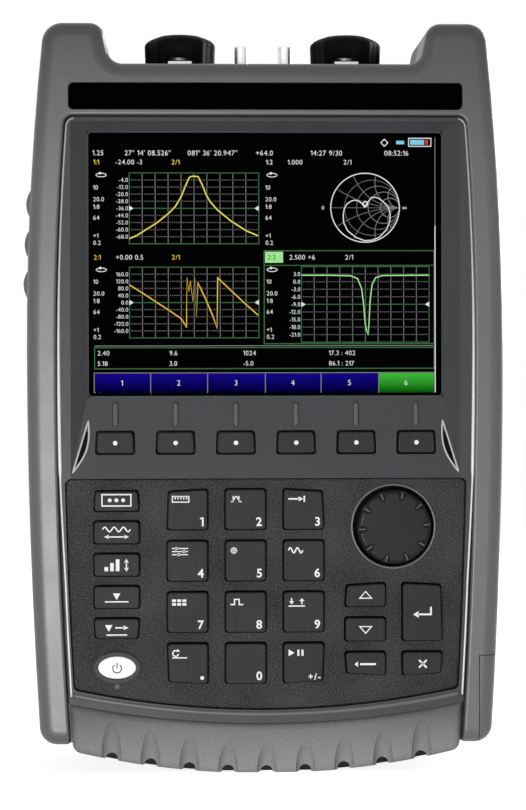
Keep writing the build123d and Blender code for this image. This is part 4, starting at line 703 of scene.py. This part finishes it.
# Figures of the number keys, by their right end and foot, and small pictograms in the order of the keys, all
# from the pictogram's lower left corner.
FIGURE_SPOT, FIGURE_HEIGHT, SIGN_HEIGHT = (12.9, -9.2), 3.5, 2.6
OTHER_FIGURES = {"point": ("disc", 11.6, -8.3, 0.75),
                 "sign": ("text", KEY_SIGNS, "+/-", *FIGURE_SPOT, SIGN_HEIGHT, 1.0)}
NUMBER_MARKS = {
    "1": [("box", 0.2, 0.1, 6.6, 2.3, PEN),
          *(("line", [(tick, 1.1), (tick, 2.3)], PEN) for tick in np.arange(1.3, 6.0, 1.1))],
    "2": [("line", bell(2.3, 2.1, 0.2, 2.1), PEN),
          ("line", [(1.2, 0), (1.2, 2.4)], PEN), ("line", [(3.4, 0), (3.4, 2.4)], PEN)],
    "3": [("line", [(0, 1.2), (4.4, 1.2)], 0.6), ("fill", [(4.0, 0.2), (5.8, 1.2), (4.0, 2.2)]),
          ("line", [(6.2, 0), (6.2, 2.4)], 0.6)],
    "4": [stroke for z, knob in ((2.1, 1.6), (0.9, 4.6), (-0.3, 2.6))
          for stroke in (("line", [(0, z), (6.2, z)], PEN), ("disc", knob, z, 0.6))],
    "5": [("ring", 1.4, 1.2, 1.0, PEN),
          ("line", [(0, 1.2), (2.8, 1.2)], PEN), ("line", [(1.4, -0.2), (1.4, 2.6)], PEN)],
    "6": [("line", wave(0, 5.6, 1.2, 1.0, 2.0), 0.55)],
    "7": [("box", x, z, x + 1.5, z + 1.0) for x in (0.0, 2.0, 4.0) for z in (-0.1, 1.3)],
    "8": [("line", [(0, 0.2), (1.6, 0.2), (1.6, 2.2), (3.4, 2.2), (3.4, 0.2), (5.0, 0.2)], 0.5)],
    "9": [("line", [(1.2, 2.6), (1.2, 1.2)], 0.5), ("fill", [(0.2, 1.4), (1.2, 0.2), (2.2, 1.4)]),
          ("line", [(5.2, 0.2), (5.2, 1.6)], 0.5), ("fill", [(6.2, 1.4), (5.2, 2.6), (4.2, 1.4)]),
          ("line", [(0, -0.5), (6.4, -0.5)], 0.5)],
    "point": [("ring", 1.3, 1.3, 1.1, 0.5, None, 60, 350), ("fill", [(1.6, 1.9), (3.0, 2.1), (2.0, 3.1)]),
              ("line", [(0, -0.4), (5.8, -0.4)], 0.45)],
    "0": [],
    "sign": [("fill", [(0, 0.0), (2.3, 1.3), (0, 2.6)]),
             ("box", 3.4, 0.1, 4.2, 2.5), ("box", 5.0, 0.1, 5.8, 2.5)],
}
FUNCTION_MARKS = (
    [("box", -5.6, -2.2, 5.6, 2.2, 0.5), *(("disc", x, 0.0, 0.75) for x in (-2.6, 0.0, 2.6))],
    [("line", wave(-5.4, 5.4, 1.3, 0.9, 3.0), 0.5), ("line", [(-3.4, -1.6), (3.4, -1.6)], 0.5),
     ("fill", [(-3.0, -0.8), (-4.8, -1.6), (-3.0, -2.4)]), ("fill", [(3.0, -2.4), (4.8, -1.6), (3.0, -0.8)])],
    [*(("box", x - 0.7, -2.3, x + 0.7, -2.3 + tall) for x, tall in ((-4.0, 1.6), (-1.8, 3.2), (0.4, 4.6))),
     ("line", [(3.8, -1.4), (3.8, 1.4)], 0.5), ("fill", [(2.9, 1.0), (4.7, 1.0), (3.8, 2.5)]),
     ("fill", [(4.7, -1.0), (2.9, -1.0), (3.8, -2.5)])],
    [("fill", [(-1.5, 1.7), (0.0, -0.9), (1.5, 1.7)]), ("line", [(-4.6, -1.6), (4.6, -1.6)], 0.5)],
    [("fill", [(-4.6, 2.0), (-3.1, -0.6), (-1.6, 2.0)]), ("line", [(-0.6, 0.9), (3.0, 0.9)], 0.6),
     ("fill", [(2.6, 0.0), (4.6, 0.9), (2.6, 1.8)]), ("line", [(-4.0, -1.9), (4.0, -1.9)], 0.5)],
)
CONTROL_MARKS = {
    "up_key": ((ARROW_COLUMN, 69.1), [("line", [(-2.3, -1.2), (2.3, -1.2), (0.0, 1.4)], PEN, True)]),
    "down_key": ((ARROW_COLUMN, 55.65), [("line", [(-2.3, 1.2), (0.0, -1.4), (2.3, 1.2)], PEN, True)]),
    "back_key": ((ARROW_COLUMN, 42.2), [("fill", [(-4.4, 0.0), (-3.0, -1.1), (-3.0, 1.1)]),
                                        ("line", [(-2.2, 0.0), (4.0, 0.0)], 0.8)]),
    "enter_key": ((ENTER_COLUMN, 62.38), [("line", [(3.2, 2.0), (3.2, -0.9), (-2.0, -0.9)], 0.7),
                                          ("fill", [(-1.6, 0.4), (-3.8, -0.9), (-1.6, -2.2)])]),
    "escape_key": ((ENTER_COLUMN, 42.2), [("line", [(-1.5, -1.5), (1.5, 1.5)], 0.7),
                                          ("line", [(-1.5, 1.5), (1.5, -1.5)], 0.7)]),
}
SOFT_KEY_DOT = [("disc", 0.0, 0.0, 0.88, 24)]
POWER_SIGN = [("ring", 0.0, -0.3, 1.7, 0.46, None, -235, 55), ("line", [(0.0, -0.3), (0.0, 1.9)], 0.46)]


def legend(key, kind, strokes, spot, face, finish="white_ink", slot="power_pale"):
    """Thin marks round a spot on a key's face, as a piece that rides on the key."""
    sheet = Print()
    for mark, *measures in strokes:
        getattr(sheet, mark)(*measures)
    ink = sheet.place(f"{key}_{kind}", key, finish, slot, spot, face - PRINT_RISE)
    skin = ink.modifiers.new("ink", "SOLIDIFY")
    skin.thickness, skin.offset = PRINT_DEPTH * MM, -1.0


def key_legends():
    """Figure at the lower right of each number key and a small pictogram at its upper left, pictograms of the
    function keys, outlined arrows, the back, enter and escape signs, the dots of the soft keys and the power
    sign, an open ring with an upright stroke."""
    for place, (key, strokes) in enumerate(NUMBER_MARKS.items()):
        figure = OTHER_FIGURES.get(key, ("text", KEY_SIGNS, key, *FIGURE_SPOT, FIGURE_HEIGHT, 1.0))
        spot = (NUMBER_COLUMNS[place % 3], NUMBER_ROWS[place // 3])
        legend(f"number_key_{key}", "legend", [figure, *strokes], spot, KEY_FACE)
    for place, height in enumerate(FUNCTION_ROWS):
        key = f"function_key_{place + 1}"
        legend(key, "legend", FUNCTION_MARKS[place], (FUNCTION_COLUMN, height), KEY_FACE)
    for key, (spot, strokes) in CONTROL_MARKS.items():
        legend(key, "legend", strokes, spot, KEY_FACE)
    for place, x in enumerate(SOFT_KEY_PLACES):
        legend(f"soft_key_{place + 1}", "dot", SOFT_KEY_DOT, (x, SOFT_KEY_MIDDLE), SOFT_KEY_FACE)
    legend("power_button", "sign", POWER_SIGN, POWER_SPOT, POWER_FACE, "grey_ink", "key_charcoal")


# Display. Places on it are counted in steps of its picture, whose upper left corner is PICTURE_CORNER.

LCD_FACE, GROUND_LAYER = -25.0, 0.012
DISPLAY_CORNER, DISPLAY_WIDTH, DISPLAY_CELLS = (-67.0, 248.2), 133.7, 640
CELL = DISPLAY_WIDTH / DISPLAY_CELLS
PICTURE_CORNER, CELLS_PER_STEP = (94.5, 136.0), (1.869, -1.875)
BAR_SPAN = (148.35 * MM, 155.95 * MM)
# Each colour's layer over the LCD, the shade of what is lit, and the second shade of the bar with its span.
COLOURS = {
    "bar_blue": (0.02, (0.008, 0.003, 0.30), (0.0, 0.0, 0.03), BAR_SPAN),
    "bar_green": (0.02, (0.06, 0.62, 0.05), (0.0, 0.12, 0.0), BAR_SPAN),
    "grid": (0.04, (0.26, 0.26, 0.26)),
    "dim_green": (0.05, (0.05, 0.17, 0.06)),
    "cyan": (0.06, (0.25, 0.7, 0.9)),
    "red": (0.06, (0.8, 0.05, 0.04)),
    "yellow": (0.07, (0.95, 0.82, 0.12)),
    "orange": (0.07, (0.95, 0.62, 0.05)),
    "pale_green": (0.07, (0.42, 0.95, 0.35)),
    "white": (0.08, (0.92, 0.92, 0.92)),
    "lcd_black": (0.09,),
}

# Left, top, right and foot of each square plot, and the first figure and step of its scale.
PLOTS = (((130, 172.3, 259.7, 243), -4.0, 8.0),
         ((130, 266.4, 259.7, 337), 160.0, 40.0),
         ((302.4, 265.8, 431, 341.5), 3.0, 3.0))
CHART_MIDDLE, CHART_REACH = (366.6, 207), 34.5
PICTURE_LEFT, PICTURE_RIGHT = 95, 436
BAR_EDGES, BAR_TOP, BAR_LOW = (94.5, 151, 208, 266, 322, 380, 436), 372, 392

# Points of the four traces.
BELL = [(130, 238), (138, 234.5), (145, 230), (157, 222.5), (169, 213), (176, 206), (182, 196), (186, 186),
        (190, 177), (193, 175.5), (199, 176), (203, 184), (207, 194), (211, 201), (218, 209), (231.5, 220),
        (247, 230), (259, 235)]
SAW = [(130, 284), (142, 291.5), (155, 300), (169, 309), (182, 318), (187, 326), (187.6, 277), (189.5, 290),
       (191, 281), (193.5, 300), (195.5, 278), (197, 316), (198.5, 282), (201, 287), (207, 300), (213, 314),
       (217.6, 327), (218.4, 277), (232, 290), (246, 303), (259, 314.5)]
DIP = [(302.4, 274.5), (330, 274.5), (352, 275), (359, 278), (363, 288), (365, 304), (366.6, 323.6),
       (368, 330), (369.4, 333.6), (370.4, 322), (371.5, 300), (373.5, 284), (377, 277), (384, 274.8),
       (431, 274.5)]
HEART = [(366, 240), (357, 236.5), (349, 230), (345, 222), (344.5, 214.5), (345.6, 208), (348, 203.6),
         (352, 200.6), (356, 199.4), (360, 200.2), (363.6, 203), (366, 206.4), (369, 204.8), (369, 201.5),
         (366.4, 200.6), (364.4, 202.4), (366, 206), (369, 202), (372.7, 197), (377, 196.4), (381, 198),
         (386, 202), (390, 206.7), (391.8, 213), (391.5, 220.6), (388, 229), (381, 236.4), (374, 239.4)]


class Display:
    """Marks on the display by colour, kept in its own cells from the upper left corner."""

    def __init__(self):
        self.sheets = defaultdict(Print)

    @staticmethod
    def at(places):
        """Cells from places counted in the picture."""
        return (np.asarray(places, float) - PICTURE_CORNER) * CELLS_PER_STEP

    def line(self, colour, path, width, closed=False):
        """A line along places."""
        self.sheets[colour].line(self.at(path), width, closed)

    def box(self, colour, left, top, right, low, width=None):
        """A filled box, or a line of one width round it."""
        self.sheets[colour].box(*self.at([(left, low), (right, top)]).ravel(), width)

    def text(self, signs, x, y, height, anchor=0.0, colour="white"):
        """Figures and signs, with their middle at a height."""
        x, y = self.at((x, y))
        self.sheets[colour].text(SCREEN_SIGNS, signs, x, y - height / 2, height, anchor)


def status_line(screen):
    """Figures along the top of the display, and the small signs over them at the right."""
    for x, figures in ((93.5, "1.25"), (125.5, "27° 14' 08.526\""), (188.6, "081° 36' 20.947\""),
                       (257, "+64.0"), (312, "14:27 9/30"), (386, "08:52:16")):
        screen.text(figures, x, 152.4, 9.4)
    screen.line("white", [(386, 138.5), (389.5, 142), (386, 145.5), (382.5, 142)], 1.6, closed=True)
    screen.box("cyan", 398, 140, 406, 143.5)
    screen.box("white", 410.5, 137.5, 433, 145.5, 1.6)
    screen.box("cyan", 412, 139, 426, 144)
    screen.box("red", 427, 139, 430, 144)


def square_plots(screen):
    """Three framed plots with ten by ten dotted lines, a middle line, a pointer at each end of it and figures
    down the left side."""
    across, up = np.meshgrid(np.linspace(0, 1, 61), np.linspace(0.1, 0.9, 9))
    level, upright = np.stack([across, up], axis=-1), np.stack([up, across], axis=-1)
    dots = np.concatenate([level, upright]).reshape(-1, 2)
    for (left, top, right, low), _, _ in PLOTS:
        screen.sheets["grid"].dots(screen.at(dots * (right - left, low - top) + (left, top)), 1.5)
        screen.box("dim_green", left, top, right, low, 1.6)
        middle = (top + low) / 2
        screen.line("dim_green", [(left, middle), (right, middle)], 1.6)
        for edge, way in ((left, 1), (right, -1)):
            pointer = [(edge, middle - 2.6), (edge, middle + 2.6), (edge + 4.2 * way, middle)]
            screen.sheets["white"].fill(screen.at(pointer[::-way]))
    for (left, top, _, low), first, step in PLOTS:
        for place, height in enumerate(np.linspace(top, low, 11)[1:-1]):
            screen.text(f"{first - step * place:.1f}", left - 0.6, height, 7.4, anchor=1.0)


def round_chart(screen):
    """Impedance chart: circles of even resistance and arcs of even reactance inside the rim, as dots."""
    turn = np.linspace(0, 2 * math.pi, 150)
    found = []
    for load in (0.25, 0.6, 1.2, 2.6):
        size = 1 / (1 + load)
        found.append(np.stack([load * size + size * np.cos(turn), size * np.sin(turn)], axis=1))
    for load in (0.3, 0.7, 1.4, 3.0):
        size = 1 / load
        fine = np.linspace(0, 2 * math.pi, int(220 * size) + 60)
        for side in (-1, 1):
            loop = np.stack([1 + size * np.cos(fine), side * size + size * np.sin(fine)], axis=1)
            found.append(loop[np.hypot(loop[:, 0], loop[:, 1]) < 0.97])
    found.append(np.stack([np.linspace(-1, 1, 60), np.zeros(60)], axis=1))
    places = np.concatenate(found) * (CHART_REACH, -CHART_REACH) + CHART_MIDDLE
    screen.sheets["grid"].dots(screen.at(places), 1.2)
    rim = np.stack([np.cos(turn[:-1]), -np.sin(turn[:-1])], axis=1) * CHART_REACH + CHART_MIDDLE
    screen.line("white", rim, 1.8, closed=True)


def traces(screen):
    """A trace in each plot, and the two ends of the round chart's scale."""
    screen.line("yellow", BELL, 2.2)
    screen.line("orange", SAW, 2.0)
    screen.line("pale_green", DIP, 2.0)
    round_chart(screen)
    screen.line("white", HEART, 1.8, closed=True)
    screen.text("0", 323, CHART_MIDDLE[1], 7.0)
    screen.text("∞", 404, CHART_MIDDLE[1], 7.0)


def headers(screen):
    """Number, figures and ratio over each plot, and the round sign and figures down its left side."""
    screen.box("pale_green", 266, 251, 284, 262)
    for left, top, colour, number, figures in ((94.5, 161.5, "yellow", "1:1", "-24.00 -3"),
                                               (267, 161.5, "white", "1:2", "1.000"),
                                               (94.5, 256.5, "orange", "2:1", "+0.00 0.5"),
                                               (268.5, 256.5, "lcd_black", "2:2", "2.500 +6")):
        screen.text(number, left, top, 8.8, colour=colour)
        screen.text(figures, left + 22, top, 9.0)
        screen.text("2/1", left + 78, top, 9.0, colour="white" if colour == "lcd_black" else colour)
    for x, y in ((102, 174.5), (273, 174.5), (102, 269), (273, 269)):
        middle = screen.at((x, y))
        screen.sheets["white"].ring(*middle, 9.5, 1.4, height=3.4)
        screen.sheets["white"].disc(*(middle + (-2, 3.4)), 2.4)
    for left, top in ((94, 184), (266.5, 184), (94, 278), (267.5, 278)):
        for step, figures in ((2.8, "10"), (14.6, "20.0"), (22.0, "1:8"), (33.0, "64"), (51.0, "+1"),
                              (58.0, "0.2")):
            screen.text(figures, left, top + step, 8.0)


def boxes_and_bar(screen):
    """The box round the chosen plot, the box of figures under the plots, and the bar over the soft keys."""
    screen.box("dim_green", 265, 250, PICTURE_RIGHT, 343, 1.8)
    screen.line("dim_green", [(265, 264.6), (PICTURE_RIGHT, 264.6)], 1.4)
    screen.line("grid", [(PICTURE_LEFT, 345), (PICTURE_RIGHT, 345)], 1.4)
    screen.box("dim_green", PICTURE_LEFT, 346.8, PICTURE_RIGHT, 367.8, 1.8)
    for y, row in ((352.2, ("2.40", "9.6", "1024", "17.3 : 402")),
                   (362.6, ("5.18", "3.0", "-5.0", "86.1 : 217"))):
        for x, figures in zip((98, 170, 244, 330), row):
            screen.text(figures, x, y, 8.6)
    for place, (left, right) in enumerate(zip(BAR_EDGES[:-1], BAR_EDGES[1:])):
        screen.box("bar_green" if place == 5 else "bar_blue", left + 0.6, BAR_TOP + 0.6, right, BAR_LOW)
        screen.line("grid", [(left, BAR_LOW), (left, BAR_TOP), (right, BAR_TOP)], 1.5)
        screen.text(str(place + 1), (left + right) / 2, 382, 10.0, anchor=0.5)
    screen.line("grid", [(437, 137), (437, 225)], 1.2)
    screen.line("white", [(437, 225), (437, BAR_LOW)], 1.8)


def display():
    """Places the display's marks in thin layers over the LCD, one piece for each colour, on a dark ground."""
    ground = Print()
    ground.box(-SCREEN_HALF - 1.0, SCREEN_LOW - 1.0, SCREEN_HALF + 1.0, SCREEN_HIGH + 1.0)
    ground.place("display_ground", "case", "lcd_dark", "lcd_dark", (0.0, 0.0), LCD_FACE - GROUND_LAYER)
    screen = Display()
    for part in (status_line, square_plots, traces, headers, boxes_and_bar):
        part(screen)
    for colour, sheet in screen.sheets.items():
        name, (layer, *shades) = f"display_{colour}", COLOURS[colour]
        if shades:
            glow(name, *shades)
        flat = Print()
        flat.add(np.concatenate(sheet.points) * CELL, sheet.faces)
        finish = name if shades else "lcd_dark"
        flat.place(name, "case", finish, "lcd_dark", DISPLAY_CORNER, LCD_FACE - layer)


# Studio, in metres

FLOOR_SIZE, FLOOR_GLOW, SURROUND_LIGHT = 12.0, 0.87, 0.14
# Spot, aim, size and power of each lamp.
LAMPS = {
    "front_light": ((-0.17, -0.9, 0.0), (-0.02, -0.03, 0.13), 0.3, 6.5),
    "back_light": ((0.7, 0.9, 0.45), (0.0, 0.03, 0.14), 0.5, 9.5),
}
CAMERA_SPOT, CAMERA_LENS, SENSOR_WIDTH = (-0.0294, -0.900, 0.1532), 99.25, 36.0
CAMERA_YAW, CAMERA_PITCH, CAMERA_ROLL = np.radians((1.86, -0.66, -0.12))


def seen_straight(tree):
    """1 for what the camera, a mirror or a window sees, and 0 for what lights the object."""
    rays = add_node(tree, "ShaderNodeLightPath").outputs
    straight = sums(tree, "ADD", rays["Is Camera Ray"], rays["Is Transmission Ray"], clamp=True)
    return sums(tree, "ADD", straight, rays["Is Glossy Ray"], clamp=True)


def stand(name, thing, across, up, away, spot):
    """A lamp or camera at a spot, turned by its three axes."""
    holder = bpy.data.objects.new(name, thing)
    bpy.context.scene.collection.objects.link(holder)
    turn = np.eye(4)
    turn[:3] = np.stack([across, up, away, spot], axis=1)
    holder.matrix_world = Matrix(turn.tolist())
    return holder


def studio():
    """Pale floor, white surround, a soft light to the camera's lower left and one at the back right."""
    bpy.ops.mesh.primitive_plane_add(size=FLOOR_SIZE, location=(0.0, 0.0, 0.0))
    floor = bpy.context.object
    floor.name = "floor"
    tree, shader = new_finish("floor_white")
    set_inputs(tree, shader, {
        "Base Color": (0.9, 0.9, 0.9, 1.0),
        "Roughness": 0.9,
        "Specular IOR Level": 0.0,
        "Emission Color": (1.0, 1.0, 1.0, 1.0),
        "Emission Strength": sums(tree, "MULTIPLY", seen_straight(tree), FLOOR_GLOW),
    })
    floor.data.materials.append(FINISHES["floor_white"])
    floor.visible_shadow = False

    world = bpy.data.worlds.new("surround")
    bpy.context.scene.world = world
    world.use_nodes = True
    tree = world.node_tree
    strength = spread(tree, seen_straight(tree), 0.0, 1.0, SURROUND_LIGHT, 1.0)
    set_inputs(tree, tree.nodes["Background"], {"Color": (1.0, 1.0, 1.0, 1.0), "Strength": strength})

    for name, (spot, aim, size, power) in LAMPS.items():
        lamp = bpy.data.lights.new(name, "AREA")
        lamp.energy, lamp.size = power, size
        away = np.subtract(spot, aim)
        away /= np.linalg.norm(away)
        across = np.cross((0, 0, 1), away)
        across /= np.linalg.norm(across)
        stand(name, lamp, across, np.cross(away, across), away, spot)
    bpy.context.scene.view_settings.view_transform = "Standard"


def photo_camera():
    """Camera fitted to the photo: slightly left of the middle of the case and turned a little right."""
    lens = bpy.data.cameras.new("photo_camera")
    lens.sensor_width, lens.lens = SENSOR_WIDTH, CAMERA_LENS
    level = math.cos(CAMERA_PITCH)
    ahead = np.array([math.sin(CAMERA_YAW) * level, math.cos(CAMERA_YAW) * level, math.sin(CAMERA_PITCH)])
    right = np.array([math.cos(CAMERA_YAW), -math.sin(CAMERA_YAW), 0.0])
    up = np.cross(right, ahead)
    across = math.cos(CAMERA_ROLL) * right + math.sin(CAMERA_ROLL) * up
    upright = -math.sin(CAMERA_ROLL) * right + math.cos(CAMERA_ROLL) * up
    bpy.context.scene.camera = stand("photo_camera", lens, across, upright, -ahead, CAMERA_SPOT)


coat_nodes()
bezel_lips()
bezel_foot_lip()
power_ring()
screen_edge()
soft_key_ribs()
knob_rim_highlight()
knob_flute_glints()
crescent_rims()
port_nuts()
dust_caps()
key_legends()
display()
studio()
photo_camera()
